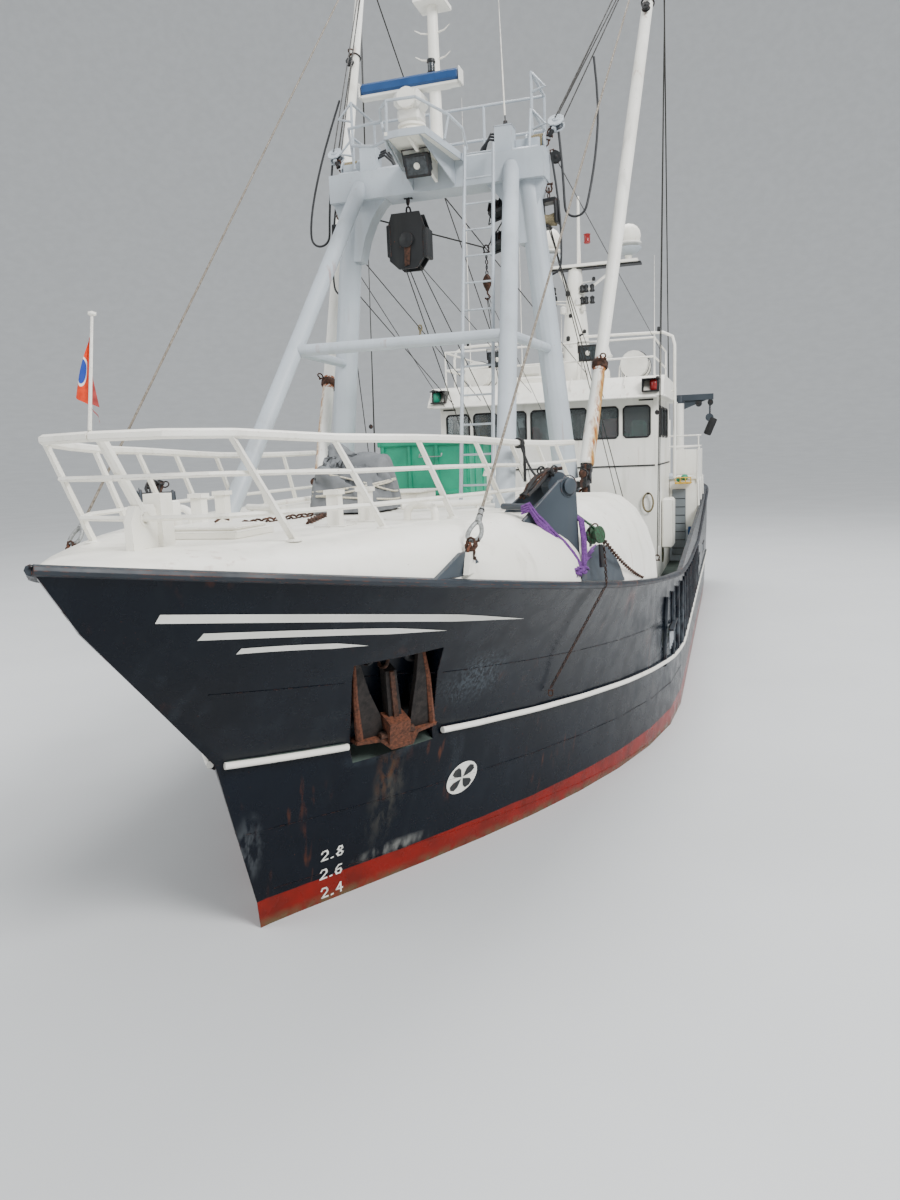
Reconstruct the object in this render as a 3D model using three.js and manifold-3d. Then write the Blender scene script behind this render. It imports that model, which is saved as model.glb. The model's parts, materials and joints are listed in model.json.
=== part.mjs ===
// A 24 m steel fishing trawler with a whaleback bow, a gantry amidships that carries two
// derricks, and the wheelhouse aft.
// Units are millimetres. +X is forward, +Y is port and +Z is up. The origin is on the waterline,
// amidships, on the centreline.
import * as THREE from 'three';
import { mergeVertices } from 'three/addons/utils/BufferGeometryUtils.js';
import Module from 'manifold-3d';

const wasm = await Module();
wasm.setup();

// Driving dimensions
const GAP = 0.3;                 // left between pieces that touch
const HALF_BEAM = 3100;
const DECK_Z = 1200;             // main working deck
const FORECASTLE_X = 4250;       // aft end of the whaleback
const WHALEBACK_Z = 3440;        // flat top of the whaleback
const WHALEBACK_ROUND = 680;     // how far its edge rounds inboard
const PLATE = 70;                // bulwark thickness with its frames
const STEM_X = 11880;            // stem head
const RAIL_FORWARD = 3480;       // height of the bulwark's top edge at the stem
const RAIL_MID = 1950;
const RAIL_AFT = 2950;

const GANTRY_X = 3850;
const BEAM_Z = 7650;             // middle of the gantry's crossbeam
const BEAM_DEPTH = 360;
const BEAM_WIDTH = 420;
const LEG_R = 165;
const BRACE_R = 105;

const DERRICK_LENGTH = 10450;
const HEEL = { x: 3930, y: 1960, z: 3700 };        // derrick's hinge, port side
const GUY_FOOT = { x: 9340, y: 1912, z: 3262 };    // eye at the bow shoulder, on the hinge's line
const DERRICK_LEAN = { aft: 0.48, out: 0.073 };    // per unit of height

const HOUSE_FRONT = -3000;
const HOUSE_BACK = -9000;
const HOUSE_HALF = 2330;
const BRIDGE_BACK = -6300;       // aft wall of the wheelhouse, on the boat deck
const BOAT_DECK_Z = 3200;
const HEADER_Z = 5000;           // top of the wheelhouse walls
const WALL = 60;

const SHAFT_Z = -1600;           // propeller shaft
const PROPELLER_X = -9950;
const PROPELLER_R = 780;
const RUDDER_X = -10850;

const paint = (color, roughness = 0.5, metalness = 0.1) =>
  new THREE.MeshStandardMaterial({ color, roughness, metalness });
const NAVY = paint(0x232b35);
const BOOT_RED = paint(0xb5392f);
const WHITE = paint(0xe9e8e2);
const GREY = paint(0xcfd5d9);
const SLATE = paint(0x4a525c);
const GREEN = paint(0x12a87c);
const RUST = paint(0x7a4630, 0.85);
const WIRE = paint(0x8d8f90, 0.6, 0.6);
const CANVAS = paint(0x8f9194, 0.9, 0);
const BLUE = paint(0x1f5a9a);
const ORANGE = paint(0xe8562a, 0.8, 0);
const BRONZE = paint(0xa98443, 0.35, 0.9);

const trawler = new THREE.Group();
const v = (x, y, z) => new THREE.Vector3(x, y, z);

// Solids: closed meshes with shared corners, and joins and cuts between them
function weld(geometry) {
  const bare = geometry.clone();
  bare.deleteAttribute('normal');
  bare.deleteAttribute('uv');
  const merged = mergeVertices(bare, 1e-3);
  const index = merged.getIndex().array;
  const kept = [];
  for (let i = 0; i < index.length; i += 3) {
    const [a, b, c] = [index[i], index[i + 1], index[i + 2]];
    if (a !== b && b !== c && c !== a) kept.push(a, b, c);
  }
  merged.setIndex(kept);
  return merged;
}

function toSolid(geometry) {
  const welded = weld(geometry);
  return new wasm.Manifold(new wasm.Mesh({
    numProp: 3,
    vertProperties: new Float32Array(welded.getAttribute('position').array),
    triVerts: new Uint32Array(welded.getIndex().array),
  }));
}

function toGeometry(solid) {
  const mesh = solid.getMesh();
  const geometry = new THREE.BufferGeometry();
  geometry.setAttribute('position', new THREE.BufferAttribute(mesh.vertProperties, 3));
  geometry.setIndex(new THREE.BufferAttribute(mesh.triVerts, 1));
  return geometry;
}

const join = (...pieces) => toGeometry(pieces.map(toSolid).reduce((a, b) => a.add(b)));
const cut = (piece, ...tools) =>
  toGeometry(tools.map(toSolid).reduce((a, b) => a.subtract(b), toSolid(piece)));
const common = (a, b) => toGeometry(toSolid(a).intersect(toSolid(b)));

function moved(geometry, x, y, z) {
  return geometry.clone().translate(x, y, z);
}

// A box given by its low and high corners
function block(x0, y0, z0, x1, y1, z1) {
  return new THREE.BoxGeometry(x1 - x0, y1 - y0, z1 - z0)
    .translate((x0 + x1) / 2, (y0 + y1) / 2, (z0 + z1) / 2);
}

// A round bar from a to b
function rod(a, b, ra, rb = ra, sides = 8) {
  const along = b.clone().sub(a);
  const turn = new THREE.Quaternion().setFromUnitVectors(v(0, 1, 0), along.clone().normalize());
  return new THREE.CylinderGeometry(rb, ra, along.length(), sides)
    .applyQuaternion(turn)
    .translate((a.x + b.x) / 2, (a.y + b.y) / 2, (a.z + b.z) / 2);
}

// A round pipe along a list of points
function pipe(points, r, steps, sides = 8) {
  const ring = new THREE.Shape();
  for (let i = 0; i < sides; i++) {
    const angle = (2 * Math.PI * i) / sides;
    const [x, y] = [r * Math.cos(angle), r * Math.sin(angle)];
    if (i === 0) ring.moveTo(x, y);
    else ring.lineTo(x, y);
  }
  ring.closePath();
  const path = new THREE.CatmullRomCurve3(points, false, 'centripetal');
  return new THREE.ExtrudeGeometry(ring, { steps, bevelEnabled: false, extrudePath: path });
}

// A flat plate: an outline in X and Z, with its thickness along Y
function plateXZ(outline, y0, y1, holes = []) {
  const shape = new THREE.Shape(outline.map(([x, z]) => new THREE.Vector2(x, z)));
  for (const hole of holes) {
    shape.holes.push(new THREE.Path(hole.map(([x, z]) => new THREE.Vector2(x, z))));
  }
  return new THREE.ExtrudeGeometry(shape, { depth: y1 - y0, bevelEnabled: false })
    .rotateX(Math.PI / 2)
    .translate(0, y1, 0);
}

function plateYZ(outline, x0, x1) {
  const shape = new THREE.Shape(outline.map(([y, z]) => new THREE.Vector2(y, z)));
  return new THREE.ExtrudeGeometry(shape, { depth: x1 - x0, bevelEnabled: false })
    .rotateY(Math.PI / 2)
    .rotateX(Math.PI / 2)
    .translate(x0, 0, 0);
}

// A flat plate: an outline in X and Y, with its thickness along Z
function plateXY(outline, z0, z1) {
  const shape = new THREE.Shape(outline.map(([x, y]) => new THREE.Vector2(x, y)));
  return new THREE.ExtrudeGeometry(shape, { depth: z1 - z0, bevelEnabled: false })
    .translate(0, 0, z0);
}

function mirrored(geometry) {
  const copy = weld(geometry).scale(1, -1, 1);
  const index = copy.getIndex().array;
  for (let i = 0; i < index.length; i += 3) {
    [index[i], index[i + 1]] = [index[i + 1], index[i]];
  }
  return copy;
}

function add(name, geometry, material) {
  const flat = weld(geometry);
  flat.computeVertexNormals();
  const mesh = new THREE.Mesh(flat, material);
  mesh.name = name;
  trawler.add(mesh);
  return mesh;
}

// Adds a port piece and its mirror image to starboard
function addPair(name, geometry, material) {
  add(`${name}_port`, geometry, material);
  add(`${name}_starboard`, mirrored(geometry), material);
}

// The hull's lines. Each row is one waterline, lowest first: its height amidships, at the bow and
// at the stern, its half-breadth, then for the bow where it ends, where the parallel middle stops,
// the power that shapes the curve between them, the share and power of its blunt end and the
// power of its fullness, and the same for the stern without the blunt end.
const LINES = [
  // mid, bow, aft, half, stemX, bowX, n, blunt, k, m, sternX, runX, n2, m2
  [-2500, -2380, -2740, 90, 8950, 7600, 2.0, 0, 1, 2.0, -9350, -8600, 2.0, 2.0],
  [-2260, -2200, -2480, 110, 9050, 7600, 2.0, 0, 1, 2.0, -9350, -8600, 2.0, 2.0],
  [-2060, -2080, -2080, 1500, 9130, -500, 1.5, 0, 1, 0.72, -9380, -500, 1.3, 0.6],
  [-1800, -1840, -1760, 2250, 9230, 0, 1.55, 0, 1, 0.76, -9400, -1500, 1.4, 0.65],
  [-1400, -1420, -1330, 2730, 9370, 700, 1.65, 0, 1, 0.8, -9420, -2600, 1.5, 0.7],
  [-900, -910, -880, 2980, 9530, 1300, 1.75, 0, 1, 0.85, -9450, -3800, 1.6, 0.8],
  [-480, -480, -520, 3060, 9630, 1700, 1.85, 0, 1, 0.88, -9900, -4800, 1.8, 1.0],
  [-200, -200, -300, 3090, 9680, 1900, 1.9, 0, 1, 0.9, -11000, -5600, 2.4, 1.4],
  [0, 0, -60, 3100, 9700, 2000, 1.95, 0, 1, 0.9, -11650, -6500, 3.2, 2.2],
  [250, 250, 250, 3100, 9730, 2050, 1.95, 0, 1, 0.92, -11800, -7500, 4.0, 3.0],
  [850, 1860, 1100, 3100, 10180, 2000, 1.9, 0, 1, 1.05, -11900, -8500, 5.0, 4.0],
  [1300, 2580, 1900, 3100, 10960, 2000, 1.56, 0.42, 2.86, 1.05, -11950, -9000, 6.0, 5.0],
  [1640, 3060, 2450, 3100, 11520, 2000, 1.33, 0.57, 3.63, 1.06, -11980, -9200, 6.0, 5.0],
  [RAIL_MID, RAIL_FORWARD, RAIL_AFT, HALF_BEAM, STEM_X, 2000, 1.24, 0.75, 6.05, 0.78, -12000, -9300, 6.0, 5.0],
];
const STRAKE_ROW = 10;
const RAIL_ROW = LINES.length - 1;
const BOW_STEPS = 12;
const STERN_STEPS = 8;

// How high a line runs at one place along the hull: level amidships, rising to both ends
function lineHeight(row, x) {
  const [mid, bow, aft] = LINES[row];
  const forward = Math.max(0, (x + 1000) / 13000);
  const after = Math.max(0, (-4000 - x) / 8000);
  return mid + (bow - mid) * forward ** 1.6 + (aft - mid) * after ** 1.1;
}

// One waterline as a loop: port side from the stern to the stem, then starboard back
function waterline(row, inset = 0, raise = () => 0) {
  const [, , , half, stemX, bowX, n, blunt, k, m, sternX, runX, n2, m2] = LINES[row];
  const side = [];
  for (let i = STERN_STEPS; i > 0; i--) {
    const angle = (Math.PI / 2) * (i / STERN_STEPS);
    const y = i === STERN_STEPS ? 0 : Math.cos(angle) ** (2 / m2);
    side.push([runX + (sternX + inset - runX) * Math.sin(angle) ** (2 / n2), y]);
  }
  for (let i = 0; i <= BOW_STEPS; i++) {
    const t = 1 - (1 - i / BOW_STEPS) ** 1.8;
    const y = i === BOW_STEPS ? 0 : (1 - (1 - blunt) * t ** n - blunt * t ** k) ** (1 / m);
    side.push([bowX + (stemX - inset - bowX) * t, y]);
  }
  const breadth = Math.max(20, half - inset);
  const port = side.map(([x, y]) => v(x, y * breadth, lineHeight(row, x) + raise(x)));
  const starboard = port.slice(1, -1).reverse().map((p) => v(p.x, -p.y, p.z));
  return [...port, ...starboard];
}

// A closed skin over a stack of loops that are mirrored port and starboard
function loft(loops) {
  const count = loops[0].length;
  const positions = loops.flat().flatMap((p) => [p.x, p.y, p.z]);
  const index = [];
  for (let k = 0; k + 1 < loops.length; k++) {
    for (let i = 0; i < count; i++) {
      const [a, b] = [k * count + i, k * count + ((i + 1) % count)];
      if (i < count / 2) index.push(a, a + count, b, b, a + count, b + count);
      else index.push(a, a + count, b + count, a, b + count, b);
    }
  }
  const cap = (base, up) => {
    for (let i = 0; i < count / 2; i++) {
      const [a, b] = [base + i, base + i + 1];
      const [c, d] = [base + ((count - i - 1) % count), base + ((count - i) % count)];
      const faces = [[a, b, c], [a, c, d]];
      for (const [p, q, r] of faces) {
        if (new Set([p, q, r]).size < 3) continue;
        if (up) index.push(p, r, q);
        else index.push(p, q, r);
      }
    }
  };
  cap(0, false);
  cap((loops.length - 1) * count, true);
  const geometry = new THREE.BufferGeometry();
  geometry.setAttribute('position', new THREE.Float32BufferAttribute(positions, 3));
  geometry.setIndex(index);
  return geometry;
}

// Hull
const outerSkin = loft(LINES.map((_, row) => waterline(row)));
const outerSkinRaised = moved(outerSkin, 0, 0, GAP);
const aboveDeck = block(-13000, -4000, DECK_Z, FORECASTLE_X, 4000, 5000);

// The anchor pocket's back wall: its middle, and how it turns with the bow and leans with the flare.
// Its sides slant forward going up.
const POCKET = { x: 8930, y: 946, z: 1977, turn: -0.6, lean: -0.48, length: 900, height: 1180, slant: 0.24 };
function atPocket(geometry) {
  return geometry.rotateX(POCKET.lean).rotateZ(POCKET.turn).translate(POCKET.x, POCKET.y, POCKET.z);
}
function anchorPocket() {
  const { length, height, slant } = POCKET;
  const outline = [[-1, -1], [1, -1], [1, 1], [-1, 1]]
    .map(([side, up]) => [side * length / 2 + up * slant * height / 2, up * height / 2]);
  return atPocket(plateXZ(outline, 0, 1500));
}
const heelBar = block(-11150, -80, -2710, -8900, 80, -2590);
const rudderTrunk = rod(v(RUDDER_X, 0, -1000), v(RUDDER_X, 0, 350), 112, 112, 16);
const bilgeKeel = block(-2600, -10, -130, 500, 10, 130).rotateX(0.85).translate(0, 2440, -1720);
const shaftBoss = rod(v(-9250, 0, SHAFT_Z), v(-9620, 0, SHAFT_Z), 150, 130, 16);
const bowStrake = pipe(strakePath(9260, 10120, 4), 50, 5, 6);
let hull = cut(outerSkin, aboveDeck, anchorPocket(), mirrored(anchorPocket()));
hull = join(hull, heelBar, bilgeKeel, mirrored(bilgeKeel), shaftBoss, bowStrake, mirrored(bowStrake));
hull = cut(hull, rudderTrunk);
add('hull', hull, NAVY);

// Bulwarks, with freeing ports at deck level
const innerSkin = loft(LINES.map((_, row) => waterline(row, PLATE, () => (row === RAIL_ROW ? 40 : 0))));
const bulwarkZone = (x0, y0, x1, y1) => block(x0, y0, DECK_Z + GAP, x1, y1, 5000);
const bulwarkRing = cut(common(outerSkin, bulwarkZone(-13000, -4000, FORECASTLE_X - GAP, 4000)), innerSkin);
const TRANSOM_X = -10900;
const FREEING_PORTS = [-8200, -5400, 400, 2900];
let bulwarkPort = common(bulwarkRing, bulwarkZone(TRANSOM_X + GAP, 0, FORECASTLE_X, 4000));
for (const x of FREEING_PORTS) {
  bulwarkPort = cut(bulwarkPort, block(x, 2000, DECK_Z + 60, x + 800, 4000, DECK_Z + 300));
}
addPair('bulwark', bulwarkPort, NAVY);
add('bulwark_stern', common(bulwarkRing, bulwarkZone(-13000, -4000, TRANSOM_X, 4000)), NAVY);

// Rubbing strake: a half-round bar along the hull's side, broken at the anchor pocket
function strakePath(x0, x1, count) {
  const line = waterline(STRAKE_ROW).slice(0, STERN_STEPS + BOW_STEPS + 1);
  const points = [];
  for (let i = 0; i <= count; i++) {
    const x = x0 + ((x1 - x0) * i) / count;
    const k = line.findIndex((p) => p.x > x);
    const t = (x - line[k - 1].x) / (line[k].x - line[k - 1].x);
    points.push(line[k - 1].clone().lerp(line[k], t));
  }
  return points;
}
const strakeTool = outerSkin.clone().scale(1.0002, 1.0002, 1);
addPair('strake', cut(pipe(strakePath(-10150, 8380, 14), 55, 18, 6), strakeTool), WHITE);

// Whaleback: rounds up from the rail to a flat top
const ROUND_STEPS = 5;
const whalebackLoops = [waterline(RAIL_ROW, 40, () => -10)];
for (let k = 0; k <= ROUND_STEPS; k++) {
  const angle = (Math.PI / 2) * (k / ROUND_STEPS);
  const inset = 15 + WHALEBACK_ROUND * (1 - Math.cos(angle));
  const rise = (x) => 4 + (WHALEBACK_Z - 4 - lineHeight(RAIL_ROW, x)) * Math.sin(angle);
  whalebackLoops.push(waterline(RAIL_ROW, inset, rise));
}
const whalebackBlank = loft(whalebackLoops);
const deckEye = plateXZ([[9480, 3075], [9410, 3245], [9270, 3245], [9130, 3075]], 1890, 1935);
const eyeHole = new THREE.CylinderGeometry(40, 40, 200, 12).translate(10810, 0, 3650);
const bowEye = cut(
  plateXZ([[10640, 3300], [10640, 3640], [10700, 3740], [10900, 3740], [10960, 3640], [10960, 3300]], -30, 30),
  eyeHole,
);
const stemPost = rod(v(10780, 0, 3650), v(11150, 0, 4200), 38, 38, 8);
const stemPostTool = join(
  rod(v(10780, 0, 3650), v(11150, 0, 4200), 39, 39, 8),
  block(10600, -31, 3300, 10990, 31, 3760),
);
const bowBitt = block(10540, -70, 3300, 10680, 70, 3810);
const POSTS = [[9100, 660], [8600, 730]];
const posts = [];
for (const [x, y] of POSTS) {
  for (const side of [-1, 1]) {
    posts.push(block(x - 52, side * y - 52, 3300, x + 52, side * y + 52, 3720));
    posts.push(block(x - 68, side * y - 68, 3705, x + 68, side * y + 68, 3745));
  }
}
const whaleback = cut(
  join(whalebackBlank, deckEye, mirrored(deckEye), bowEye, stemPost, bowBitt, ...posts),
  outerSkinRaised,
  outerSkin,
  block(-13000, -4000, 0, FORECASTLE_X, 4000, 5000),
);
add('whaleback', whaleback, WHITE);
const whalebackRaised = moved(whalebackBlank, 0, 0, GAP);

// Foredeck rail: a thick top rail, two thin ones and stanchions that lean forward
const RAIL = [
  // topX, topY, topZ, footX, footY
  [11250, 0, 4200, 10680, 0],
  [11150, 440, 4200, 10600, 490],
  [10810, 740, 4195, 10250, 870],
  [9910, 1060, 4155, 9350, 1210],
  [8950, 1370, 4145, 8380, 1490],
  [8030, 1600, 4125, 7440, 1730],
  [7100, 1710, 4095, 6520, 1840],
  [6200, 1780, 4085, 5640, 1910],
  [5300, 1820, 4085, 4760, 1950],
  [4250, 1860, 4095, 3710, 1980],
];
const RAIL_END = 4290;
const MID_RAILS = [0.29, 0.66];
function railHalf() {
  const tops = RAIL.map(([x, y, z]) => v(x, y, z));
  const feet = RAIL.map(([, , , x, y]) => v(x, y, WHALEBACK_Z - 15));
  const pieces = [pipe(tops, 34, 16, 6)];
  for (const f of MID_RAILS) pieces.push(pipe(feet.map((p, i) => p.clone().lerp(tops[i], f)), 21, 12, 5));
  for (let i = 2; i < RAIL.length - 1; i++) pieces.push(rod(feet[i], tops[i], 30, 24, 4));
  return common(join(...pieces), block(RAIL_END, GAP, 3000, 13000, 4000, 5000));
}
const railPort = cut(railHalf(), whalebackRaised, stemPostTool);
addPair('foredeck_rail', railPort, WHITE);

// Windlass under its cover
const COVER = new THREE.SphereGeometry(1, 14, 10).scale(680, 560, 640).translate(7350, -30, 3620);
add('windlass_cover', common(COVER, block(6000, -2000, WHALEBACK_Z + 5, 9000, 2000, 5000)), CANVAS);

// Bow brackets: two upright plates on the whaleback's shoulder, set across the flare, with a
// sheave on a pin between them. The outline is along the plate and up.
const BRACKET = { x: 8050, y: 2060, turn: 2.504, plate: 25, apart: 360, pinAlong: 544, pinZ: 3665 };
const bracketOutline = [
  [-15, 2950], [690, 2750], [650, 3550], [633, 3680], [580, 3730], [500, 3730], [425, 3701], [80, 3474], [-15, 3356],
];
function atBracket(geometry) {
  return geometry.rotateZ(BRACKET.turn).translate(BRACKET.x, BRACKET.y, 0);
}
const bracketPin = (y0, y1, r) => rod(
  v(BRACKET.pinAlong, y0, BRACKET.pinZ), v(BRACKET.pinAlong, y1, BRACKET.pinZ), r, r, 16,
);
const bracket = cut(
  atBracket(join(
    plateXZ(bracketOutline, 0, BRACKET.plate),
    plateXZ(bracketOutline, BRACKET.apart - BRACKET.plate, BRACKET.apart),
    bracketPin(-18, BRACKET.apart + 18, 50),
    bracketPin(130, 230, 135),
  )),
  outerSkinRaised,
  whalebackRaised,
);
addPair('bow_bracket', bracket, SLATE);

// Anchors, housed in their pockets
function anchor() {
  const crown = v(-90, 150, -380);
  const along = (dx, dy, dz) => v(crown.x + dx, crown.y + dy, crown.z + dz);
  const pieces = [
    rod(crown, along(190, -40, 800), 50, 38, 8),
    rod(along(-370, 0, 0), along(370, 0, 0), 95, 95, 8),
  ];
  for (const side of [-1, 1]) {
    pieces.push(rod(along(side * 280, 0, 0), along(side * 350 + 100, 90, 540), 70, 20, 6));
  }
  return atPocket(join(...pieces));
}
addPair('anchor', cut(anchor(), hull), RUST);

// Shelter over the foredeck work space: a roof and two side walls, open aft
const SHELTER = { aft: 2200, half: 1450, top: 3410 };
const shelterProfile = new THREE.Shape([
  [-SHELTER.half, DECK_Z + GAP], [-SHELTER.half, SHELTER.top], [SHELTER.half, SHELTER.top],
  [SHELTER.half, DECK_Z + GAP], [SHELTER.half - WALL, DECK_Z + GAP], [SHELTER.half - WALL, SHELTER.top - WALL],
  [-SHELTER.half + WALL, SHELTER.top - WALL], [-SHELTER.half + WALL, DECK_Z + GAP],
].map(([y, z]) => new THREE.Vector2(y, z)));
const shelter = new THREE.ExtrudeGeometry(shelterProfile, {
  depth: FORECASTLE_X - GAP - SHELTER.aft,
  bevelEnabled: false,
}).rotateY(Math.PI / 2).rotateX(Math.PI / 2).translate(SHELTER.aft, 0, 0);
add('shelter', shelter, WHITE);

// Green deck bin on the shelter's roof
const BIN = { x0: 2850, x1: 4150, y0: -900, y1: 380, z0: SHELTER.top + 6, z1: 4200, wall: 40 };
const bin = cut(
  block(BIN.x0, BIN.y0, BIN.z0, BIN.x1, BIN.y1, BIN.z1),
  block(BIN.x0 + BIN.wall, BIN.y0 + BIN.wall, BIN.z0 + BIN.wall, BIN.x1 - BIN.wall, BIN.y1 - BIN.wall, 5000),
);
add('deck_bin', bin, GREEN);

// Gantry: two leaning legs, a crossbeam, two long braces to the foredeck and a cross pipe
const BEAM_HALF = 1500;
const beamBox = block(GANTRY_X - BEAM_WIDTH / 2, -BEAM_HALF, BEAM_Z - BEAM_DEPTH / 2, GANTRY_X + BEAM_WIDTH / 2, BEAM_HALF,
  BEAM_Z + BEAM_DEPTH / 2);
const beamGrown = block(GANTRY_X - BEAM_WIDTH / 2 - GAP, -BEAM_HALF - GAP, BEAM_Z - BEAM_DEPTH / 2 - GAP,
  GANTRY_X + BEAM_WIDTH / 2 + GAP, BEAM_HALF + GAP, 9000);
const LEG_FOOT = v(GANTRY_X - 60, 1950, DECK_Z + GAP);
const LEG_TOP = v(GANTRY_X, 1230, BEAM_Z);
const BRACE_FOOT = v(7150, 1640, 3300);
const BRACE_TOP = v(GANTRY_X + 150, 1060, BEAM_Z);
const onLine = (a, b, z) => a.clone().lerp(b, (z - a.z) / (b.z - a.z));
const CROSS_Z = 5340;
const braceAt = onLine(BRACE_FOOT, BRACE_TOP, CROSS_Z);
const legAt = onLine(LEG_FOOT, LEG_TOP, CROSS_Z);
const brace = cut(rod(BRACE_FOOT, BRACE_TOP, BRACE_R, BRACE_R, 14), beamGrown, whalebackRaised);
const braceTool = rod(BRACE_FOOT, BRACE_TOP, BRACE_R + 1, BRACE_R + 1, 14);
addPair('gantry_brace', brace, GREY);
const crossPipe = rod(v(braceAt.x, -braceAt.y, CROSS_Z), v(braceAt.x, braceAt.y, CROSS_Z), 72, 72, 12);
add('gantry_cross_pipe', cut(crossPipe, braceTool, mirrored(braceTool),
  block(0, braceAt.y, 0, 9000, 4000, 9000), block(0, -4000, 0, 9000, -braceAt.y, 9000)), GREY);
// Knees: a curved one inside the corner of leg and beam, and a small wing outside it
const kneeFan = plateYZ([[1490, 7480], [700, 7480], [800, 7400], [940, 7220], [1050, 6980], [1130, 6700], [1330, 6700],
  [1380, 7150]], 3710, 3960);
const stub = rod(legAt, v(braceAt.x, braceAt.y, CROSS_Z), 62, 62, 12);
const stubTrim = block(braceAt.x, 0, 5000, 9000, 4000, 5700);

const BEAM_PIPE = { z: 7760, half: 1400, r: 150 };
const POST = { y: 950, half: 115, top: 8180 };
const SHEAVE = { x: 3610, y0: 1210, y1: 1430, z: 7990, r: 105 };
const beamPipe = rod(v(GANTRY_X, -BEAM_PIPE.half, BEAM_PIPE.z), v(GANTRY_X, BEAM_PIPE.half, BEAM_PIPE.z), BEAM_PIPE.r,
  BEAM_PIPE.r, 16);
const beamParts = [beamBox, beamPipe];
for (const side of [-1, 1]) {
  beamParts.push(block(GANTRY_X - POST.half, side * POST.y - POST.half, BEAM_Z, GANTRY_X + POST.half,
    side * POST.y + POST.half, POST.top));
  beamParts.push(block(GANTRY_X - 200, side * 1230 - 160, BEAM_Z, GANTRY_X - 60, side * 1230 + 160, SHEAVE.z + 40));
  beamParts.push(rod(v(SHEAVE.x, side * SHEAVE.y0, SHEAVE.z), v(SHEAVE.x, side * SHEAVE.y1, SHEAVE.z), SHEAVE.r,
    SHEAVE.r, 12));
}

// Ladder from the foredeck to the crossbeam
const LADDER = { foot: v(6250, 1090, 3400), top: v(4200, 690, 7900), half: 190, rungs: 13 };
function ladder() {
  const across = v(0, LADDER.half, 0);
  const pieces = [
    rod(LADDER.foot.clone().add(across), LADDER.top.clone().add(across), 22, 22, 6),
    rod(LADDER.foot.clone().sub(across), LADDER.top.clone().sub(across), 22, 22, 6),
  ];
  for (let i = 0; i < LADDER.rungs; i++) {
    const at = LADDER.foot.clone().lerp(LADDER.top, (i + 0.7) / LADDER.rungs);
    pieces.push(rod(at.clone().add(across), at.clone().sub(across), 12, 12, 6));
  }
  return join(...pieces);
}
add('gantry_ladder', cut(ladder(), whalebackRaised, beamGrown, block(0, -4000, 0, 9000, 4000, SHELTER.top + GAP)), GREY);

// Radar platform, pedestal and turning scanner
const RADAR = { x: 5000, y: 70, z: 8440, length: 1270 };
const platform = plateXY([[4061, -420], [4061, 440], [5280, 330], [5280, -190]], 7800, 7840);
const platformWeb = plateXZ([[4061, 7560], [4061, 7805], [5150, 7805]], 40, 80);
const pedestal = rod(v(RADAR.x, RADAR.y, 7820), v(RADAR.x, RADAR.y, 8130), 120, 110, 14);
const gearbox = rod(v(RADAR.x - 190, RADAR.y, 8230), v(RADAR.x + 190, RADAR.y, 8230), 140, 120, 14);
add('radar_platform', join(platform, platformWeb, pedestal, gearbox), WHITE);
const scannerBar = block(RADAR.x - 60, RADAR.y - RADAR.length / 2, RADAR.z - 55, RADAR.x + 70,
  RADAR.y + RADAR.length / 2, RADAR.z + 55);
const scannerFoot = rod(v(RADAR.x, RADAR.y, 8376), v(RADAR.x, RADAR.y, RADAR.z), 90, 60, 12);
add('radar_scanner', join(scannerBar, scannerFoot), BLUE);

// Catwalk on top of the crossbeam, with its rail
const WALK = { x0: 2800, x1: 3700, y0: -1300, y1: 1300, z: 7810, rail: 8860 };
function catwalk() {
  const pieces = [block(WALK.x0, WALK.y0, WALK.z, WALK.x1, WALK.y1, WALK.z + 40)];
  for (const z of [WALK.rail - 450, WALK.rail]) {
    const corners = [v(WALK.x1 - 30, WALK.y0 + 25, z), v(WALK.x0 + 25, WALK.y0 + 25, z),
      v(WALK.x0 + 25, WALK.y1 - 25, z), v(WALK.x1 - 30, WALK.y1 - 25, z)];
    for (let i = 0; i < 3; i++) pieces.push(rod(corners[i], corners[i + 1], 20, 20, 6));
  }
  for (const y of [WALK.y0 + 25, -400, 400, WALK.y1 - 25]) {
    pieces.push(rod(v(WALK.x0 + 25, y, WALK.z), v(WALK.x0 + 25, y, WALK.rail + 15), 20, 20, 6));
  }
  for (const y of [WALK.y0 + 25, WALK.y1 - 25]) {
    pieces.push(rod(v(WALK.x1 - 30, y, WALK.z), v(WALK.x1 - 30, y, WALK.rail + 15), 20, 20, 6));
  }
  return join(...pieces);
}
add('gantry_beam', join(...beamParts, catwalk()), GREY);

// Forward mast on the gantry
const MAST_X = 3950;
const mastFoot = BEAM_Z + 261;
const mast = join(
  rod(v(MAST_X, 50, mastFoot), v(MAST_X, 50, 12000), 85, 45, 12),
  block(MAST_X - 170, -120, 8780, MAST_X + 170, 220, 8860),
  block(MAST_X - 200, -150, 9740, MAST_X + 200, 250, 9790),
  rod(v(MAST_X - 150, 50, 9780), v(MAST_X - 150, 50, 9990), 60, 60, 10),
  rod(v(MAST_X + 130, 180, 9780), v(MAST_X + 130, 180, 9960), 55, 55, 10),
  rod(v(MAST_X, -420, 10600), v(MAST_X, 520, 10600), 25, 25, 6),
  rod(v(MAST_X, 50, 11980), v(MAST_X, 50, 12120), 60, 50, 10),
);
add('forward_mast', mast, WHITE);

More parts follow.
